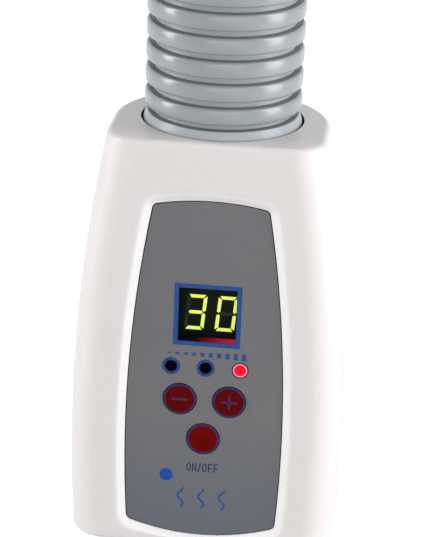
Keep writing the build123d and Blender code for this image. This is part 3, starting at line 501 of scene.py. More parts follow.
def hose_plastic(name, colour, other, roughness, specular):
    return surface(name, colour, roughness, (other, 30, 0.8, 2, (1, 1, 3)),
                   rough=(roughness - 0.02, roughness + 0.02, 50, (1, 1, 2)),
                   grains=[(900, 3e-5, 0.15, 2, (1, 1, 4))], specular=specular)


def brushed(name, colour, other, roughness, stretch):
    return surface(name, colour, roughness, (other, 260, 0.9, 4, stretch),
                   rough=(roughness - 0.08, roughness + 0.12, 300, stretch),
                   grains=[(900, 4e-5, 0.3, 2, stretch)], metallic=1)


shell_white = moulded_white("shell_white", (231, 226, 225), (228, 224, 224), 0.34)
rim_painted_highlight = rim_with_painted_highlight()
neck_white = moulded_white("neck_white", (212, 210, 208), (208, 207, 206), 0.38)
panel_grey = surface("panel_grey", (110, 109, 110), 0.5, ((103, 104, 109), 22, 0.8, 2),
                     ((112, 111, 111), 700, 0.5, 3), fade=((86, 93, 109), "Z", 0.185, 0.135, 0.75),
                     rough=(0.44, 0.56, 300), grains=[(2600, 3e-5, 0.5)], specular=0.4)

ink_blue = ink("ink_blue", (38, 74, 140), (48, 88, 152))
ink_slate = ink("ink_slate", (34, 42, 84), (46, 58, 100))
ink_navy = ink("ink_navy", (10, 14, 40), (16, 22, 54))
ink_dot = ink("ink_dot", (24, 70, 155), (34, 84, 168))
ink_symbol = ink("ink_symbol", (52, 44, 78), (60, 52, 90))

key_red = surface("key_red", (118, 5, 2), 0.5, ((98, 4, 6), 160, 0.9, 2),
                  fade=((94, 5, 8), "Z", 0.184, 0.187), rough=(0.44, 0.58, 240),
                  grains=[(1500, 5e-5, 0.4)], specular=0.03)
display_black = surface("display_black", (7, 17, 8), 0.5, ((10, 22, 10), 180, 0.9, 2),
                        rough=(0.44, 0.56, 300), specular=0.06)
segment_off = surface("segment_off", (38, 47, 38), 0.5, ((30, 38, 30), 500, 0.9), specular=0.1)
segment_lit = glowing("segment_lit", (240, 250, 108), (120, 126, 52), 0.82, (132, 138, 60))
lamp_lit = glowing("lamp_lit", (245, 10, 44), (150, 6, 24), 0.85, (168, 10, 34))
# Painted light that the lit lamp casts round itself, on the panel and on the wall of its hole.
lamp_painted_glow_rim = glowing("lamp_painted_glow_rim", (255, 176, 200), (140, 92, 104), 0.72, (150, 84, 100))
lamp_painted_glow = glowing("lamp_painted_glow", (252, 30, 62), (150, 14, 32), 0.84, (164, 22, 42))
lamp_off = surface("lamp_off", (5, 6, 18), 0.7, ((20, 6, 14), 300, 0.6), specular=0)
# Black for the sleeves round the window and two lamps, also used as painted shadow in the panel's joint and
# in the gap round the hose.
liner_and_painted_shadow = surface("liner_and_painted_shadow", (7, 9, 9), 0.7, ((12, 14, 14), 300), specular=0.08)

hose_grey = hose_plastic("hose_grey", (147, 152, 156), (141, 147, 151), 0.23, 0.85)
# Painted light and shade: a lighter grey for the groove floors and the foot ring, a darker, duller grey for
# the rib shoulders.
hose_painted_light = hose_plastic("hose_painted_light", (176, 181, 185), (168, 174, 178), 0.3, 0.4)
hose_painted_shade = hose_plastic("hose_painted_shade", (124, 129, 133), (116, 122, 126), 0.35, 0.15)

enamel_white = surface("enamel_white", (212, 210, 207), 0.3, ((208, 207, 203), 6, 0.7, 1),
                       ((216, 214, 211), 900, 0.5, 2), rough=(0.29, 0.33, 700),
                       grains=[(1500, 4e-5, 0.3)], specular=0.45)
inner_reflector = surface("inner_reflector", (240, 238, 234), 0.36, ((234, 232, 228), 6, 0.8, 2),
                          rough=(0.34, 0.4, 300), grains=[(900, 4e-5, 0.25)])
powder_white = surface("powder_white", (208, 206, 203), 0.48, ((203, 202, 199), 7, 0.7, 1),
                       ((213, 211, 209), 1200, 0.6, 2), rough=(0.4, 0.56, 200),
                       grains=[(850, 0.0002, 0.35)], specular=0.45)

chrome = brushed("chrome", (166, 168, 172), (156, 158, 163), 0.16, (1, 1, 1))
steel = brushed("steel", (150, 150, 152), (128, 129, 132), 0.34, (6, 1, 1))
aluminium = brushed("aluminium", (178, 179, 181), (160, 161, 164), 0.36, (1, 1, 8))
brass = brushed("brass", (196, 158, 84), (168, 128, 62), 0.28, (1, 4, 1))

black_plastic = surface("black_plastic", (26, 26, 28), 0.5, ((34, 34, 36), 90, 0.8), worn=(70, 70, 74),
                        rough=(0.42, 0.62, 260), grains=[(1100, 0.00016, 0.5, 3)])
dark_nylon = surface("dark_nylon", (46, 46, 48), 0.5, ((38, 38, 40), 120), grains=[(700, 0.0001, 0.4)])
pad_rubber = surface("pad_rubber", (24, 24, 25), 0.8, ((33, 33, 34), 60, 0.8, 4),
                     grains=[(500, 0.0002, 0.6, 4)], specular=0.3)
cast_iron = surface("cast_iron", (62, 61, 60), 0.7, ((44, 43, 43), 40, 0.9, 5),
                    grains=[(180, 0.0006, 0.7, 6)], metallic=0.6)
ceramic_white = surface("ceramic_white", (236, 233, 226), 0.18, ((228, 224, 214), 30, 0.8),
                        grains=[(160, 0.0001, 0.15)], coat=(0.6, 0.06))
board_green = surface("board_green", (18, 88, 48), 0.38, ((12, 66, 36), 260, 0.9, 3, None, 0.48, 0.52),
                      grains=[(900, 6e-5, 0.4)])
iron_core = surface("iron_core", (92, 80, 70), 0.45, ((150, 84, 50), 130, 0.9, 2, (1, 6, 1), 0.45, 0.55),
                    grains=[(400, 0.0002, 0.5, 2, (1, 1, 8))], metallic=0.6)
silvered_glass = surface("silvered_glass", (214, 212, 208), 0.14, ((196, 193, 188), 26, 0.8, 3),
                         rough=(0.1, 0.2, 40), metallic=1)
red_glass = surface("red_glass", (186, 12, 8), 0.2, ((156, 8, 8), 18, 0.9, 2), rough=(0.16, 0.26, 60),
                    grains=[(300, 0.0003, 0.3, 1)], specular=0.3, coat=(0.25, 0.04))
tungsten = surface("tungsten", (140, 134, 124), 0.4, ((196, 190, 176), 300), metallic=0.8)


# Camera, lights and stage; places in metres, angles in degrees
CAMERA_PLACE = (0.06485, -0.7341, 0.5131)
CAMERA_AZIMUTH = 5.10
CAMERA_ELEVATION = 21.18
CAMERA_ROLL = 2.19
CAMERA_LENS = 160.76
SENSOR_WIDTH = 36
LIGHTS_AIM = (0, -0.02, 0.3)


def direction(azimuth, elevation):
    """From the part towards a viewer who stands at these angles."""
    a, e = radians(azimuth), radians(elevation)
    return Vector((sin(a) * cos(e), -cos(a) * cos(e), sin(e)))


def set_camera():
    """Puts the camera in its place, with the picture turned clockwise by the roll."""
    back = direction(CAMERA_AZIMUTH, CAMERA_ELEVATION)
    level_right = direction(CAMERA_AZIMUTH + 90, 0)
    level_up = back.cross(level_right)
    roll = radians(CAMERA_ROLL)
    right = level_right * cos(roll) + level_up * sin(roll)
    up = level_up * cos(roll) - level_right * sin(roll)
    data = bpy.data.cameras.new("camera")
    data.sensor_width = SENSOR_WIDTH
    data.lens = CAMERA_LENS
    data.clip_start = 0.05
    data.clip_end = 20
    camera = new_object("camera", data)
    camera.matrix_world = placed(Matrix((right, up, back)).transposed(), *CAMERA_PLACE)
    bpy.context.scene.camera = camera


def softbox(name, azimuth, elevation, distance, width, height, power):
    data = bpy.data.lights.new(name, "AREA")
    data.shape = "RECTANGLE"
    data.size = width
    data.size_y = height
    data.energy = power
    light = new_object(name, data)
    way = direction(azimuth, elevation)
    light.location = Vector(LIGHTS_AIM) + way * distance
    light.rotation_mode = "QUATERNION"
    light.rotation_quaternion = way.to_track_quat("Z", "Y")


def studio_world():
    """White where it is seen; as a light it is dim, and dimmer towards the top."""
    world = bpy.data.worlds.new("studio")
    world.use_nodes = True
    tree = world.node_tree
    height = put(tree, "SeparateXYZ", {0: put(tree, "TexCoord").outputs["Generated"]}).outputs["Z"]
    light = tree.nodes["Background"]
    feed(tree, light.inputs["Color"], (0.96, 0.98, 1, 1))
    feed(tree, light.inputs["Strength"], map_range(tree, height, 0, 0.9, 0.55, 0.14))
    white = put(tree, "Background", {"Color": (1, 1, 1, 1), "Strength": 1})
    mix = put(tree, "MixShader", {0: seen_directly(tree), 1: light.outputs[0], 2: white.outputs[0]})
    feed(tree, tree.nodes["World Output"].inputs["Surface"], mix.outputs[0])
    return world


def floor_material():
    """White floor that keeps soft shadows, with its own light only where it is seen."""
    mat = bpy.data.materials.new("floor_white")
    mat.use_nodes = True
    tree = mat.node_tree
    ramp = put(tree, "ValToRGB", {0: put(tree, "TexNoise", {"Scale": 3}).outputs["Fac"]})
    ramp.color_ramp.elements[0].color = (0.80, 0.80, 0.80, 1)
    ramp.color_ramp.elements[1].color = (0.84, 0.84, 0.84, 1)
    paint = tree.nodes["Principled BSDF"]
    paint.inputs["Roughness"].default_value = 0.9
    paint.inputs["Specular IOR Level"].default_value = 0
    feed(tree, paint.inputs["Base Color"], ramp.outputs[0])
    place = put(tree, "TexCoord").outputs["Object"]
    away = put(tree, "VectorMath", {0: place}, operation="LENGTH").outputs["Value"]
    brighter = map_range(tree, away, 0.25, 1.3, 0.5, 1, interpolation_type="SMOOTHSTEP")
    glow = put(tree, "Emission", {"Strength": brighter})
    dark = put(tree, "Emission", {"Strength": 0})
    light = put(tree, "MixShader", {0: seen_directly(tree), 1: dark.outputs[0], 2: glow.outputs[0]})
    total = put(tree, "AddShader", {0: paint.outputs[0], 1: light.outputs[0]})
    feed(tree, tree.nodes["Material Output"].inputs["Surface"], total.outputs[0])
    return mat


set_camera()
softbox("left_softbox", -83, 14, 1, 0.3, 0.9, 5.9)
softbox("right_softbox", 82, 16, 0.85, 0.45, 1, 6.4)
softbox("front_fill", 8, 10, 1.5, 1.5, 0.9, 7.3)
bpy.context.scene.world = studio_world()
bpy.context.scene.view_settings.view_transform = "Standard"

floor_disc = [(0, -0.4), (3000, -0.4)]
floor = lathe("floor", floor_disc, UPRIGHT, None, floor_material(), closed=False, segments=64)


# Housing
def half_width(drop):
    part = (drop - WIDEST_DROP) / WIDEST_DROP
    return WIDEST_HALF - NARROWER_AT_TOP * part * part


def section(drop, inset, front_inset):
    """Outline of the housing at a drop: a straight run and then a round corner, four times."""
    half, front, rear = half_width(drop) - inset, FRONT_Y + front_inset, BACK_Y - inset
    rf, rb = FRONT_CORNER - inset, REAR_CORNER - inset
    corners = [(half - rf, front + rf, rf, -90, 18), (half - rb, rear - rb, rb, 0, 30),
               (-half + rb, rear - rb, rb, 90, 30), (-half + rf, front + rf, rf, 180, 18)]
    arcs = [oval(x, y, r, r, even_steps(start, 90, steps) + [start + 90])
            for x, y, r, start, steps in corners]
    outline = []
    for k, run in enumerate((12, 5, 6, 5)):
        (x0, y0), (x1, y1) = arcs[k - 1][-1], arcs[k][0]
        outline += [(x0 + (x1 - x0) * j / run, y0 + (y1 - y0) * j / run) for j in range(run)]
        outline += arcs[k][:-1]
    return [Vector((x, y, HOUSING_TOP - drop)) for x, y in outline]


def housing_form(inset, front_inset, edge, top, bottom):
    """Mesh of the housing's outer or inner form, with rounded edges at its top and bottom."""
    edge_steps, levels = 7, 40
    rounding = [(depth, extra) for extra, depth in round_edge(edge, even_steps(0, 90, edge_steps))]
    straight = bottom - top - 2 * edge
    places = [(top + depth, extra) for depth, extra in rounding]
    places += [(top + edge + straight * k / levels, 0) for k in range(levels + 1)]
    places += [(bottom - depth, extra) for depth, extra in rounding[::-1]]
    rings = [section(drop, inset + extra, front_inset + extra) for drop, extra in places]
    return mesh_of("housing_form", *stacked(rings))


def corner_curve(start, corner, end):
    """Inner points of a smooth curve that leans towards the corner."""
    p0, p, p3 = Vector(start), Vector(corner), Vector(end)
    a, b = p0.lerp(p, 0.56), p3.lerp(p, 0.56)
    points = []
    for u in (k / 8 for k in range(1, 8)):
        q = p0 * (1 - u) ** 3 + a * 3 * u * (1 - u) ** 2 + b * 3 * u * u * (1 - u) + p3 * u ** 3
        points.append((q.x, q.y))
    return points


def panel_outline(grow):
    """Points (x, drop) round the panel, with a margin: four long arcs and rounded corners."""
    top_x, low_x, wide_x = 18.4 + grow, 24.5 + grow, 25.6 + grow
    top_drop, low_drop = 21.3 - grow, 131.9 + grow
    low_middle = 136.2 + min(grow, 0.2) + 0.52 * max(grow - 0.2, 0)
    ends = [(top_x, top_drop), (low_x, low_drop), (-low_x, low_drop), (-top_x, top_drop)]
    middles = [(wide_x, 102), (0, low_middle), (-wide_x, 102), (0, 19.3 - grow)]
    sides = []
    for k, steps in enumerate((40, 24, 40, 24)):
        x, y, radius, first, turn = arc_through(ends[k], middles[k], ends[(k + 1) % 4])
        trim = copysign(0.98 * (PANEL_CORNER + grow) / radius, turn)
        angles = [first + trim + (turn - 2 * trim) * j / steps for j in range(steps + 1)]
        sides.append([(x + radius * cos(t), y + radius * sin(t)) for t in angles])
    points = []
    for k, side in enumerate(sides):
        following = (k + 1) % 4
        points += side + corner_curve(side[-1], ends[following], sides[following][0])
    return points


def outline_ring(grow, y):
    return flat([(x, HOUSING_TOP - drop) for x, drop in panel_outline(grow)], y)


def recess_cutter():
    """What is cut from the housing's face: the panel's seat and the rounded slope round it."""
    slope = rounded([(0.15, RECESS_Y), (0.15, PANEL_Y - 0.05), (2.7, FRONT_Y), (6.5, FRONT_Y)],
                    [0, 0.25, 5, 0], 8)
    widest = slope[-2][0]
    levels = [(grow, y) for grow, y in slope if y > FRONT_Y + 0.0001]
    levels += [(widest, FRONT_Y - 0.001), (widest, FRONT_Y - 3)]
    return mesh_of("recess", *stacked([outline_ring(grow, y) for grow, y in levels]))


def panel_holes(front, back):
    """Cutters for the window, the lamps and the keys."""
    half, upward = WINDOW_WIDTH / 2, WINDOW_HEIGHT / 2
    tools = [box_mesh((-half, front, WINDOW_Z - upward), (half, back, WINDOW_Z + upward))]
    tools += [cylinder_mesh(on_panel(x, drop), 1.8, -back, -front) for x, drop in LED_PLACES]
    tools += [cylinder_mesh(on_panel(x, drop), 5.6, -back, -front, 72) for x, drop in KEY_PLACES.values()]
    return tools


def half_of(mesh, front, gap=0.04):
    """The part of a mesh in front of or behind the seam, with a narrow joint between the two."""
    bm = bmesh.new()
    bm.from_mesh(mesh)
    y = (SEAM_Y - gap if front else SEAM_Y + gap) * MM
    everything = bm.verts[:] + bm.edges[:] + bm.faces[:]
    result = bmesh.ops.bisect_plane(bm, geom=everything, plane_co=(0, y, 0), plane_no=(0, 1, 0),
                                    clear_outer=front, clear_inner=not front)
    edges = [e for e in result["geom_cut"] if isinstance(e, bmesh.types.BMEdge)]
    bmesh.ops.holes_fill(bm, edges=edges)
    made = bpy.data.meshes.new("half")
    bm.to_mesh(made)
    bm.free()
    return made


def rear_cutters():
    """Cutters for the screws that hold the rear shell and for the mains inlet."""
    places = [(side * (half_width(drop) - 8), drop) for drop in SHELL_SCREW_DROPS for side in (-1, 1)]
    tools = [cylinder_mesh(on_panel(x, drop), 3, -40, -7) for x, drop in places]
    z = HOUSING_TOP - INLET_DROP
    return tools + [box_mesh((-14.3, 20, z - 10.5), (14.3, 40, z + 10.5))]


def housing_shells():
    """Meshes of the front and the rear shell."""
    outer = housing_form(0, 0, 1.6, 0, HOUSING_HEIGHT)
    cavity = housing_form(WALL, FLOOR_BACK_Y - FRONT_Y, 0.01, 3, HOUSING_HEIGHT - WALL)
    foot = HOUSING_TOP - HOUSING_HEIGHT
    hose_hole = cylinder_mesh(UPRIGHT, HOSE_HOLE_RADIUS, HOUSING_TOP - 4, HOUSING_TOP + 3, 144)
    stem_hole = cylinder_mesh(UPRIGHT, STEM_HOLE_RADIUS, foot - 2, foot + 4, 96)
    hollow = cut(outer, [cavity, hose_hole, stem_hole])
    front = cut(half_of(hollow, True), [recess_cutter()] + panel_holes(IN_FRONT_Y, FLOOR_BACK_Y + 1))
    return front, cut(half_of(hollow, False), rear_cutters())


def paint_rim(mesh):
    """Gives the slope round the panel its smoother white with a painted highlight where it faces up or
    sideways.
    """
    mesh.materials.clear()
    mesh.materials.append(shell_white)
    mesh.materials.append(rim_painted_highlight)
    for poly in mesh.polygons:
        x, y, z = poly.center / MM
        drop = HOUSING_TOP - z
        on_slope = FRONT_Y + 0.0005 < y < PANEL_Y - 0.03 and -0.9999 < poly.normal.y < -0.2
        near_panel = abs(x) < half_width(drop) - FRONT_CORNER - 0.1 and 14 < drop < 138.35
        poly.material_index = 1 if on_slope and near_panel else 0


front_mesh, rear_mesh = housing_shells()
paint_rim(front_mesh)
for name, mesh, node in (("housing_front", front_mesh, "front_shell"),
                         ("housing_rear", rear_mesh, "rear_shell")):
    level_normals(finish_object(name, mesh, "housing", shell_white, node, "shell_white", 30))


# Control panel
def panel_mesh():
    """The overlay with a slightly rounded front edge and its openings."""
    rings = [outline_ring(-PANEL_INSET, RECESS_Y)]
    for depth, inset in round_edge(0.1, (0, 45, 90)):
        rings.append(outline_ring(-PANEL_INSET - inset, PANEL_Y + depth))
    return cut(mesh_of("panel", *stacked(rings)), panel_holes(IN_FRONT_Y, RECESS_Y + 1))


def joint_shadow_mesh():
    """Dark strip at the bottom of the joint between the panel and its recess, a painted shadow line."""
    outside, inside = 0.14, -PANEL_INSET + 0.01
    back, front = RECESS_Y - 0.25, RECESS_Y - 0.55
    corners = [(outside, back), (outside, front), (inside, front), (inside, back)]
    return mesh_of("joint", *stacked([outline_ring(grow, y) for grow, y in corners], loop=True))


def printed(name, outlines, mat):
    plates(name, outlines, PRINT_BACK, PRINT_FRONT, "housing", mat)


def printed_bands(name, pairs, mat):
    bands(name, pairs, PRINT_BACK, PRINT_FRONT, "housing", mat)


def printed_ring(name, place, outer, inner, mat):
    x, drop = place
    z = HOUSING_TOP - drop
    printed_bands(name, [(circle(x, z, outer), circle(x, z, inner))], mat)


def level_bars():
    """Ten bars in a row, each taller than the one before."""
    z = HOUSING_TOP - 71.6
    return [about(-11.9 + 2.69 * k, z, 1.3, 0.45 + 0.22 * k, 0.15, 2) for k in range(10)]


def stroke(points, width):
    """Outline of a line of even width along points in the panel's plane."""
    left, right = [], []
    for k, (x, z) in enumerate(points):
        before = Vector(points[max(k - 1, 0)])
        after = Vector(points[min(k + 1, len(points) - 1)])
        way = (after - before).normalized()
        left.append((x - way.y * width / 2, z + way.x * width / 2))
        right.append((x + way.y * width / 2, z - way.x * width / 2))
    return left + right[::-1]


def heat_line(x):
    """A wavy line that stands for rising heat."""
    z, height, sway, waves, steps = HOUSING_TOP - 126.6, 7.2, 0.95, 1.25, 32
    parts = [k / steps for k in range(steps + 1)]
    return stroke([(x + sway * sin(2 * pi * waves * u), z + height * u) for u in parts], 0.62)


# Strokes of the letters, 1.45 mm wide and 3.1 mm tall, from their lower left corner
LETTER_STROKES = {
    "N": [rectangle(0, 0.34, 0, 3.1), rectangle(1.11, 1.45, 0, 3.1),
          [(0.34, 3.1), (0.34, 2.55), (1.11, 0), (1.11, 0.55)]],
    "F": [rectangle(0, 0.34, 0, 3.1), rectangle(0.34, 1.45, 2.76, 3.1), rectangle(0.34, 1.2, 1.2, 1.54)],
    "/": [[(0, -0.2), (0.34, -0.2), (0.95, 3.3), (0.61, 3.3)]],
}
LETTER_O = [oval(0.725, 1.55, 0.725 - inset, 1.55 - inset, even_steps(0, 360, 32)) for inset in (0, 0.34)]


def switch_words():
    """The words ON and OFF with a slash between them."""
    x, z = -5.1, HOUSING_TOP - 113.3
    strokes, rounds = [], []
    for letter in "ON/OFF":
        if letter == "O":
            rounds.append([moved(outline, x, z) for outline in LETTER_O])
        else:
            strokes += [moved(outline, x, z) for outline in LETTER_STROKES[letter]]
        x += 1.4 if letter == "/" else 1.9
    printed("print_switch_words", strokes, ink_slate)
    printed_bands("print_switch_rounds", rounds, ink_slate)


level_normals(finish_object("panel_overlay", panel_mesh(), "housing", panel_grey, "control_panel",
                            "panel_grey", 30))
finish_object("panel_joint_shadow", joint_shadow_mesh(), "housing", liner_and_painted_shadow)
window_frame = (about(0, WINDOW_Z, 21.7, 21.3), about(0, WINDOW_Z, 18.8, 18.4))
printed_bands("print_window_frame", [window_frame], ink_blue)
printed("print_level_bars", level_bars(), ink_blue)
for side, place in zip(("left", "middle"), LED_PLACES):
    printed_ring("print_lamp_edge_" + side, place, 2.95, 2.72, ink_slate)
    printed_ring("print_lamp_ring_" + side, place, 2.72, 2.14, ink_blue)
    printed_ring("print_lamp_mask_" + side, place, 2.14, 1.78, ink_navy)
printed_ring("print_lamp_edge_right", LED_PLACES[2], 2.75, 2.34, ink_navy)
# Painted light of the lit lamp on the panel round it: a pale ring and a red one.
printed_ring("lamp_halo", LED_PLACES[2], 2.34, 2.02, lamp_painted_glow_rim)
printed_ring("lamp_halo_inner", LED_PLACES[2], 2.02, 1.6, lamp_painted_glow)
printed("print_dot", [circle(-11.7, HOUSING_TOP - 115.1, 2.2)], ink_dot)
printed("print_heat_lines", [heat_line(x) for x in (-6.8, 0, 6.8)], ink_blue)
switch_words()


# Display
# A digit from its middle to the middles of its side and top bars
DIGIT_SIDE = 2.6
DIGIT_TOP = 5.5
DIGIT_MIDDLE = WINDOW_Z - 0.35
BAR_TIP = 0.56
BAR_GAP = 0.26
BAR_HALF = DIGIT_SIDE - BAR_GAP
SLANT = tan(radians(5.2))


def display_mesh():
    """Block behind the window with a rounded front edge."""
    outline = about(0, WINDOW_Z, 24, 19.8, 0.4)
    middle = Vector((0, WINDOW_Z))
    rings = [flat(outline, -16.4)]
    for depth, inset in round_edge(0.15, (0, 30, 60, 90)):
        drawn_in = [Vector(p) - (Vector(p) - middle).normalized() * inset for p in outline]
        rings.append(flat(drawn_in, DISPLAY_Y + depth))
    return mesh_of("display_face", *stacked(rings))


def end_bar(up):
    """Top bar for up = 1, bottom bar for up = -1."""
    wide, narrow = BAR_HALF + 0.55 * BAR_TIP, BAR_HALF - 0.75 * BAR_TIP
    outer, inner = up * (DIGIT_TOP + BAR_TIP), up * (DIGIT_TOP - BAR_TIP)
    return [(-wide, outer), (wide, outer), (narrow, inner), (-narrow, inner)]


def standing_bar(side, up):
    """Bar on the right for side = 1, in the upper half for up = 1."""
    outer, inner = DIGIT_SIDE + BAR_TIP, DIGIT_SIDE - BAR_TIP
    near, far = BAR_GAP + 0.8 * BAR_TIP, DIGIT_TOP - BAR_GAP
    points = [(DIGIT_SIDE, BAR_GAP), (outer, near), (outer, far + 0.55 * BAR_TIP),
              (inner, far - 0.75 * BAR_TIP), (inner, near)]
    return [(side * x, up * z) for x, z in points]


MIDDLE_BAR = [(side * x, side * z) for side in (-1, 1)
              for x, z in ((BAR_HALF, 0), (BAR_HALF - BAR_TIP, BAR_TIP), (BAR_TIP - BAR_HALF, BAR_TIP))]
DIGIT_BARS = {"a": end_bar(1), "g": MIDDLE_BAR, "d": end_bar(-1), "b": standing_bar(1, 1),
              "c": standing_bar(1, -1), "f": standing_bar(-1, 1), "e": standing_bar(-1, -1)}


def show_digits():
    """A three and a nought as lit and unlit bars."""
    lit, unlit = [], []
    for middle, shown in ((-4.15, "abgcd"), (5.75, "abcdef")):
        for key, bar in DIGIT_BARS.items():
            outline = [(middle + x + z * SLANT, DIGIT_MIDDLE + z) for x, z in bar]
            (lit if key in shown else unlit).append(outline)
    back = DISPLAY_Y - 0.01
    plates("segments_lit", lit, back, DISPLAY_Y - 0.06, "housing", segment_lit, sharp=60)
    plates("segments_unlit", unlit, back, DISPLAY_Y - 0.04, "housing", segment_off, sharp=60)


def window_glow():
    """Red light on the window's lower wall, stronger towards the lit lamp."""
    s = Surface("window_glow", (30, 4, 8), 0.6, specular=0.05)
    s.vary_colour((44, 6, 12), 200)
    split = put(s.tree, "SeparateXYZ", {0: s.where["Object"]})
    s.glow((225, 40, 62), map_range(s.tree, split.outputs["X"], -0.0035, 0.0085, 0, 0.6))
    return s.mat


def line_window():
    """Dark sleeve round the window and the glow along its lower wall."""
    walls = [about(0, WINDOW_Z, 18.76 - inset, 18.36 - inset) for inset in (0, 0.24)]
    bands("window_sleeve", [walls], DISPLAY_Y - 0.02, PANEL_Y + 0.02, "housing", liner_and_painted_shadow)
    low = WINDOW_Z - WINDOW_HEIGHT / 2
    strip = box_mesh((-4.5, PANEL_Y + 0.05, low + 0.15), (9.2, DISPLAY_Y - 0.05, low + 0.2))
    finish_object("window_lower_glow", strip, "housing", window_glow())


finish_object("display_face", display_mesh(), "housing", display_black, "display_module", "display_black")
show_digits()
line_window()


# Lamps and keys
def lamp_dome(name, place, mat, node=None):
    radius, tip = 1.5, -PANEL_Y + 0.3
    top = oval(0, tip - radius, radius, radius, range(0, 90, 10))
    profile = [(0, 24), (radius, 24)] + top + [(0, tip)]
    lathe(name, profile, on_panel(*place), "housing", mat, node, "led_clear", 48, False)


def key_piece(node, place):
    """Key with a flat crown, a ring of ink round its edge and a slightly domed middle."""
    face, radius = -KEY_FACE_Y, 5.35
    stem = rounded([(0, 19.3), (2, 19.3), (2, 23.1), (6.5, 23.1), (6.5, 24.1), (radius, 24.1),
                    (radius, face - 0.12)], 0.15, 3)[:-1]
    crown = [(radius - 0.45 * (1 - cos(radians(t))), face - 0.45 + 0.33 * sin(radians(t)))
             for t in (0, 30, 60, 90)]
    radii = [KEY_PRINT_RADIUS * (1 - k / 8) for k in range(9)]
    dome = [(r, face - 0.12 + 0.1 * (1 - (r / 4.9) ** 2)) for r in radii]
    key = lathe(node + "_cap", stem + crown + dome, on_panel(*place), KEY_BODIES[node], key_red, node,
                "key_red", 96, False)
    key.data.materials.append(ink_slate)
    x, drop = place
    for poly in key.data.polygons:
        centre = poly.center / MM
        away = hypot(centre.x - x, centre.z - (HOUSING_TOP - drop))
        if away > KEY_PRINT_RADIUS and centre.y < PANEL_Y + 0.6:
            poly.material_index = 1


def key_symbol(name, node, outline):
    """Sign on a key, from an outline about the key's middle."""
    x, drop = KEY_PLACES[node]
    sign = moved(outline, x, HOUSING_TOP - drop)
    plates(name, [sign], KEY_FACE_Y + 0.05, KEY_FACE_Y - 0.02, KEY_BODIES[node], ink_symbol)


def plus_sign():
    lower = [(-2.6, -0.36), (-0.36, -0.36), (-0.36, -2.5), (0.36, -2.5), (0.36, -0.36), (2.6, -0.36)]
    return lower + [(-x, -z) for x, z in lower]


lamp_sleeve = [(1.56, 24.8), (1.79, 24.8), (1.79, 27.98), (1.72, 27.98), (1.6, 27.2), (1.56, 26)]
# The sleeve in the lit lamp's hole is painted with its red light; the other two are dark.
for number, place, mat in zip("123", LED_PLACES, (liner_and_painted_shadow, liner_and_painted_shadow, lamp_painted_glow)):
    lathe("lamp_sleeve_" + number, lamp_sleeve, on_panel(*place), "housing", mat, segments=48)
lamp_dome("lamp_left", LED_PLACES[0], lamp_off, "indicator_leds")
lamp_dome("lamp_middle", LED_PLACES[1], lamp_off)
lamp_dome("lamp_right", LED_PLACES[2], lamp_lit)
for node, place in KEY_PLACES.items():
    key_piece(node, place)
key_symbol("symbol_minus", "minus_key", about(0, 0, 5.2, 0.72, 0.2))
key_symbol("symbol_plus", "plus_key", plus_sign())


# Ribbed hose
RIB_PROFILE = rounded([(-3.8, NECK_RADIUS), (-2.85, NECK_RADIUS), (-2.7, 25.2), (0, 25.35), (2.7, 25.2),
                       (2.85, NECK_RADIUS), (3.8, NECK_RADIUS)], [0, 0.3, 1.1, 12, 1.1, 0.3, 0], 5)
HOSE_FOOT = rounded([(-12, HOSE_BORE), (-12, 23.5), (-3.2, 23.5), (-3.2, 25.5), (0.4, 25.5), (2.7, 24.4),
                     (2.85, NECK_RADIUS), (3.5, NECK_RADIUS)], [0, 0.3, 0, 0.3, 4, 0.5, 0.3, 0], 6)[:-1]


def hose_place(distance):
    """Frame square to the hose's centre line at a distance above the housing."""
    straight = min(distance, HOSE_STRAIGHT)
    turn = min((distance - straight) / HOSE_BEND, pi / 2)
    rest = distance - straight - HOSE_BEND * turn
    y = -HOSE_BEND * (1 - cos(turn)) - rest * sin(turn)
    z = HOUSING_TOP + straight + HOSE_BEND * sin(turn) + rest * cos(turn)
    return placed(Matrix.Rotation(turn, 3, "X"), 0, y, z)


def rib_points(first, last):
    """Points (distance, radius) over the ribs from first to last."""
    points = []
    for rib in range(first, last + 1):
        middle = FIRST_RIB + RIB_PITCH * rib
        points += [(middle + away, radius) for away, radius in RIB_PROFILE[:-1]]
    return points + [(FIRST_RIB + RIB_PITCH * last + 3.8, NECK_RADIUS)]


def stretch_loop(k):
    """Points (distance, radius) round the wall of the stretch across pivot k."""
    last_stretch = len(PIVOTS) - 1
    first = 0 if k == 0 else RIBS_IN_FIRST + RIBS_PER_STRETCH * (k - 1)
    last = RIB_COUNT - 1 if k == last_stretch else RIBS_IN_FIRST + RIBS_PER_STRETCH * k - 1
    outside = rib_points(first, last)
    if k == 0:
        outside = HOSE_FOOT + outside
    if k == last_stretch:
        outside = [p for p in outside if p[0] <= HOSE_END] + [(HOSE_END, NECK_RADIUS)]
    inside = [(s, HOSE_BORE) for s in range(int(outside[-1][0]), int(outside[0][0]), -8)]
    return outside + inside


def paint_hose(mesh, loop):
    """Paints light and shade on the hose: a lighter grey for painted light on the floors of the grooves and
    on the foot ring, a darker grey for painted shade on the shoulders of the ribs.
    """
    for mat in (hose_grey, hose_painted_light, hose_painted_shade):
        mesh.materials.append(mat)
    for poly in mesh.polygons:
        corners = [loop[v // HOSE_SEGMENTS] for v in poly.vertices]
        lowest = min(distance for distance, radius in corners)
        radii = [radius for distance, radius in corners]
        if max(radii) < NECK_RADIUS + 0.3 or lowest < 2.3:
            poly.material_index = 1
        elif min(radii) < 24.3 and max(radii) < 24.9:
            poly.material_index = 2


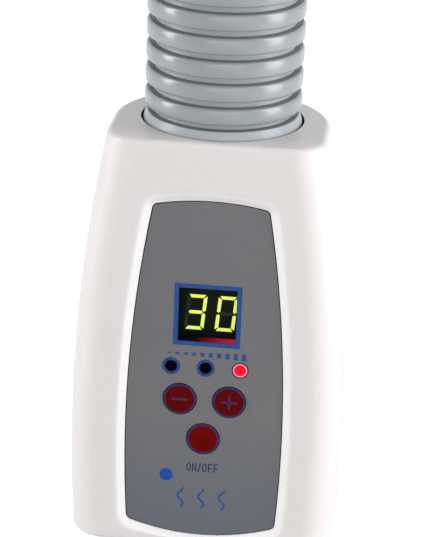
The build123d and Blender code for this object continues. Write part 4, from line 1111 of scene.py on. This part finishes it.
def hose_stretch(k):
    """Stretch of hose across pivot k, from the middle of one link to the middle of the next."""
    loop = stretch_loop(k)
    rings = [ring(hose_place(distance), radius, 0, HOSE_SEGMENTS) for distance, radius in loop]
    mesh = mesh_of("hose", *stacked(rings, loop=True))
    paint_hose(mesh, loop)
    obj = finish_object("hose_stretch_" + str(k + 1), mesh, None, None, None, "hose_grey", 60)
    numbers = [k, k + 1] if k == len(PIVOTS) - 1 else [k]
    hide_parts(*["hose_sleeve_" + str(number) for number in numbers])
    before, after = (hose_place(PIVOTS[k] + away).translation * MM for away in (-17, 17))
    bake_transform(obj)


# Dark ring down in the gap round the hose's foot, a painted shadow.
hose_gap_shadow = [(25.55, 277.4), (26.3, 277.4), (26.3, 279.5), (26.1, 278.4), (25.75, 278.2), (25.55, 278.2)]
lathe("hose_gap_shadow", hose_gap_shadow, UPRIGHT, "housing", liner_and_painted_shadow, segments=144)
for k in range(len(PIVOTS)):
    hose_stretch(k)


# Lamp head; distances run along its axis, towards the front, from the end of the hose
HEAD = placed(TOWARDS_FRONT, *hose_place(HOSE_LENGTH).translation)
SHADE_REAR = 60
SHADE_FRONT = 190
BULB_RADIUS = 61
BULB_NECK = 66
BULB_WIDEST = 158
BULB_FRONT = 177
GUARD_RINGS = [(70.85, 187), (46.76, 190), (22.67, 191.4)]
GUARD_SPOKES = 8
GUARD_WIRE_RADIUS = 1.08
GUARD_WIRE_SIDES = 14


def slot_cutter(angle):
    """Long hole with round ends, cut through the cap parallel to the head's axis."""
    outline = rounded([(41, -2), (62, -2), (62, 2), (41, 2)], 1.9, 6, closed=True)
    place = HEAD @ Matrix.Rotation(radians(angle), 4, "Z")
    return mesh_of("slot", *stacked([[place @ Vector((x, y, h)) for x, y in outline] for h in (27, 47)]))


def cap_mesh():
    """Dished rear cap with twelve air slots."""
    points = [(12, 26), (33, 26), (43, 29), (51, 38), (55.5, 49), (57, 60), (55.6, 60), (55.6, 65),
              (54.1, 65), (54.1, 58), (55.4, 57), (53.9, 49.6), (49.4, 38.8), (42.4, 30.6), (33, 27.6),
              (12, 27.6)]
    profile = rounded(points, [0, 2, 8, 14, 14, 0.5, 0, 0.4, 0.4, 0.5, 0.5, 12, 12, 7, 2, 0], 7, closed=True)
    slots = [slot_cutter(angle) for angle in even_steps(15, 360, 12)]
    return cut(turned("turned", profile, HEAD, 144, loop=True), slots)


def bell(distance):
    """Outer radius of the shade at a distance along the axis: one long arc."""
    x, y, radius = circle_through((57, SHADE_REAR), (69.2, 125), (75, SHADE_FRONT))
    return x + sqrt(radius * radius - (distance - y) ** 2)


def bell_points(start, end, steps, inset=0):
    distances = [start + (end - start) * k / steps for k in range(steps + 1)]
    return [(bell(d) - inset, d) for d in distances]


def shade_pieces():
    """The shade with a step at its rear and a bead at its mouth, and its bright lining."""
    step = rounded([(57, SHADE_REAR), (57, 63.5), (57.9, 64.5), (58.5, 68)], [0, 0.4, 0.6, 0], 4)
    outside = [p for p in bell_points(SHADE_REAR, SHADE_FRONT, 30) if 69 < p[1] < 188.2]
    bead = oval(74.35, SHADE_FRONT, 1.8, 1.8, range(-60, 241, 15))
    inside = bell_points(SHADE_REAR, 188, 30, 1.3)[::-1]
    wall = step + outside + bead + inside
    lathe("shade_bell", wall, HEAD, "head", enamel_white, "shade", "lamp_white", 160)
    lining = bell_points(70, 186, 30, 1.34)
    back_face = [(r - 0.12, d) for r, d in lining[::-1]]
    lathe("shade_lining", lining + back_face, HEAD, "head", inner_reflector, None, "lamp_white", 160)


def bulb_curve():
    """Smooth curve of the bulb's rear part through parts of its radius and length."""
    parts = [(0.24, 0), (0.27, 0.1), (0.33, 0.22), (0.5, 0.38), (0.7, 0.54), (0.86, 0.71), (0.96, 0.87),
             (1, 1)]
    points = [Vector((BULB_RADIUS * a, BULB_NECK + (BULB_WIDEST - BULB_NECK) * b)) for a, b in parts]
    last = len(points) - 1
    smooth = []
    for k in range(last):
        p0, p1, p2, p3 = points[max(k - 1, 0)], points[k], points[k + 1], points[min(k + 2, last)]
        for t in (j / 6 for j in range(6)):
            bend = (2 * p0 - 5 * p1 + 4 * p2 - p3) * t * t + (3 * p1 - p0 - 3 * p2 + p3) * t ** 3
            smooth.append(tuple(0.5 * ((2 * p1) + (p2 - p0) * t + bend)))
    return smooth + [tuple(points[last])]


def lens_curve(inset):
    """Front of the bulb from its widest part to the axis."""
    depth, radius = BULB_FRONT - BULB_WIDEST - inset, BULB_RADIUS - inset
    angles = [radians(t) for t in range(0, 90, 5)]
    points = [(radius * cos(t) ** 0.6, BULB_WIDEST + depth * sin(t)) for t in angles]
    return points + [(0, BULB_WIDEST + depth)]


def wire_rings(points, closed):
    """Rings of a round wire along a path, without twist."""
    count = len(points)
    rings = []
    normal = None
    for k, point in enumerate(points):
        before = points[k - 1] if closed or k > 0 else point
        after = points[(k + 1) % count] if closed or k < count - 1 else point
        way = (after - before).normalized()
        if normal is None:
            normal = way.orthogonal()
        normal = (normal - way * normal.dot(way)).normalized()
        side = way.cross(normal)
        rings.append([point + normal * x + side * y
                      for x, y in circle(0, 0, GUARD_WIRE_RADIUS, GUARD_WIRE_SIDES)])
    return rings


def guard_spoke(angle):
    """Path of a spoke from the outer to the inner ring, bent over the one between."""
    (outer, low), (inner, high) = GUARD_RINGS[0], GUARD_RINGS[2]
    points = []
    for u in (k / 12 for k in range(13)):
        radius = outer + (inner - outer) * u
        height = low + (high - low) * (1 - (1 - u) ** 1.8)
        points.append(HEAD @ Vector((radius * cos(angle), radius * sin(angle), height)))
    return points


def guard_mesh():
    """Round wires: three rings and the spokes over them."""
    hoops = [ring(HEAD, radius, distance, 120) for radius, distance in GUARD_RINGS]
    spokes = [guard_spoke(2 * pi * k / GUARD_SPOKES) for k in range(GUARD_SPOKES)]
    parts = [stacked(wire_rings(points, True), loop=True) for points in hoops]
    parts += [stacked(wire_rings(points, False)) for points in spokes]
    return mesh_of("guard_wires", *merged(parts))


collar = [(25.65, -7), (27.85, -7), (27.85, 1), (33, 26), (22, 26), (22, 22), (27.8, 22), (24.85, 3.2),
          (18.9, 3.2), (18.9, 0.2), (25.65, 0.2)]
collar = rounded(collar, [0.5, 0.9, 8, 1.2, 0, 0, 1, 1, 0, 0, 0.3], closed=True)
lathe("head_collar", collar, HEAD, "head", neck_white, "head_neck", "neck_white")
level_normals(finish_object("lamp_cap", cap_mesh(), "head", enamel_white, "rear_cap", "lamp_white", 32))
shade_pieces()
silver = bulb_curve()
silver += [(r - 1.4, d) for r, d in silver[::-1]]
lathe("bulb_silver_back", silver, HEAD, "head", silvered_glass, "bulb_reflector", "bulb_silver", 144)
lens = lens_curve(1.5)[::-1] + lens_curve(0)
lathe("bulb_red_front", lens, HEAD, "head", red_glass, "bulb_lens", "bulb_red", 144, False)
finish_object("guard_wires", guard_mesh(), "head", chrome, "wire_guard", "chrome")


# Base and stem
CLAMP = placed(TOWARDS_REAR, 0, 0, 114)
NEAR_AXIS = 0.01
KNOB_SEGMENTS = 144
KNOB_LOBES = 6


def base_profile():
    """Dome of the base cover, 120 mm in radius, with a flat top and an even wall."""
    edge = rounded([(118.6, 3), (120, 3), (120, 11)], [0, 1.1, 0], 5)
    outside = oval(34, 11, 86, 14, [90 * k / 24 for k in range(1, 25)])
    inside = oval(34, 10, 84, 13, [90 * k / 16 for k in range(17)])[::-1]
    return edge + outside + [(13.05, 25), (13.05, 23)] + inside + [(118, 3)]


def clamp_mesh():
    """Collar round the stem with a boss for the clamp screw."""
    profile = rounded([(12.75, 97), (16.5, 97), (18, 100), (18, 124), (15.5, 127), (10, 127), (10, 118.6),
                       (12.75, 118.6)], [0, 0.6, 2, 2, 1.5, 0.3, 0, 0], 5, closed=True)
    boss = rounded([(NEAR_AXIS, 13.7), (7.5, 13.7), (7.5, 23), (NEAR_AXIS, 23)], [0, 0, 1, 0], 5)
    body = turned("collar", profile, UPRIGHT, 96, loop=True)
    joined = cut(body, [turned("boss", boss, CLAMP, 64)], "UNION")
    return cut(joined, [cylinder_mesh(CLAMP, 3.1, 2, 26)])


def knob_mesh():
    """Hand knob with a dished face and a lobed rim."""
    profile = rounded([(2, 23.3), (9, 23.3), (12.6, 26), (14, 27.5), (14, 36.4), (12.4, 38.3),
                       (8.6, 38.3), (7.6, 37.3), (0, 37.3)], [0, 0.8, 1.5, 1.2, 1.8, 1.4, 0.8, 0.6, 0], 5)
    angles = [radians(t) for t in even_steps(0, 360, KNOB_SEGMENTS)]
    lobes = [(0.5 + 0.5 * cos(KNOB_LOBES * (t - radians(15)))) ** 1.6 for t in angles]
    rings = []
    for radius, height in profile:
        depth = 1.7 * max(0, min(1, (radius - 8.6) / 4))
        reaches = [max(radius - depth * lobe, NEAR_AXIS) for lobe in lobes]
        rings.append([CLAMP @ Vector((r * cos(t), r * sin(t), height)) for r, t in zip(reaches, angles)])
    return mesh_of("knob", *stacked(rings))


lathe("base_dome", base_profile(), UPRIGHT, "base", powder_white, "base_cover", "base_white", 160)
pad = [(0, 0.6), (60, 0.6), (61, 0), (70, 0), (71, 0.6), (84, 0.6), (85, 0), (94, 0), (95, 0.6),
       (102, 0.6), (103, 0), (113.2, 0), (114, 0.8), (114, 3), (0, 3)]
lathe("base_foot_pad", pad, UPRIGHT, "base", pad_rubber, "base_pad", "pad_rubber", 128, False)
sleeve = rounded([(11.1, 6), (12.7, 6), (12.7, 116), (11.1, 116)], [0, 0, 0.4, 0], 4, closed=True)
lathe("stem_sleeve", sleeve, UPRIGHT, "base", powder_white, "stem_outer_tube", "base_white", 96)
skirt = rounded([(12.8, 25), (24, 25), (24, 28), (16.3, 37), (12.8, 37)],
                [0, 0.3, 1.2, 1.4, 0.3], closed=True)
lathe("stem_skirt", skirt, UPRIGHT, "base", black_plastic, "stem_trim_ring", "black_plastic", 96)
rod = rounded([(8, 34), (9.5, 34), (9.5, 152), (8, 152)], [0, 0.3, 0.3, 0], 3, closed=True)
lathe("stem_rod", rod, UPRIGHT, "housing", chrome, "stem_inner_tube", "chrome", 96)
level_normals(finish_object("stem_clamp", clamp_mesh(), "base", black_plastic, "stem_collar",
                            "black_plastic", 32))
finish_object("clamp_hand_knob", knob_mesh(), "knob", black_plastic, "clamp_knob", "black_plastic", 34)
screw = rounded([(0, 9.8), (2.6, 9.8), (3, 10.4), (3, 25), (0, 25)], [0, 0.1, 0.1, 0, 0], 3)
lathe("clamp_screw", screw, CLAMP, "knob", steel, closed=False, segments=48)
insert = rounded([(0, 37), (5, 37), (5, 38.4), (4.2, 40), (0, 40)], [0, 0, 0.2, 0.8, 0], 4)
lathe("clamp_insert", insert, CLAMP, "knob", steel, closed=False, segments=64)


# Finishes of the other nodes
FINISHES = [
    (steel, ["base_plate", "base_screws", "stem_screws", "housing_screws", "board_screws", "hose_clamp",
             "neck_nut", "head_screws", "guard_clips"]),
    (aluminium, ["stem_foot", "stem_socket", "heat_sink", "bulb_screw_cap"]),
    (black_plastic, ["stem_bush", "key_switches", "buzzer", "mains_inlet"]),
    (board_green, ["control_board", "power_board", "terminal_block"]),
    (dark_nylon, ["neck_base", "neck_end"] + ["hose_link_" + str(k) for k in range(1, 6)]),
    (cast_iron, ["base_weight"]),
    (iron_core, ["transformer"]),
    (tungsten, ["bulb_filament"]),
    (ceramic_white, ["lampholder"]),
    (brass, ["lampholder_contacts"]),
]

for mat, names in FINISHES:
    for name in names:
        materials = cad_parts[name].data.materials
        materials.clear()
        materials.append(mat)

for name in ("mains_inlet", "guard_clips", "heat_sink", "terminal_block"):
    soften(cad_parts[name])
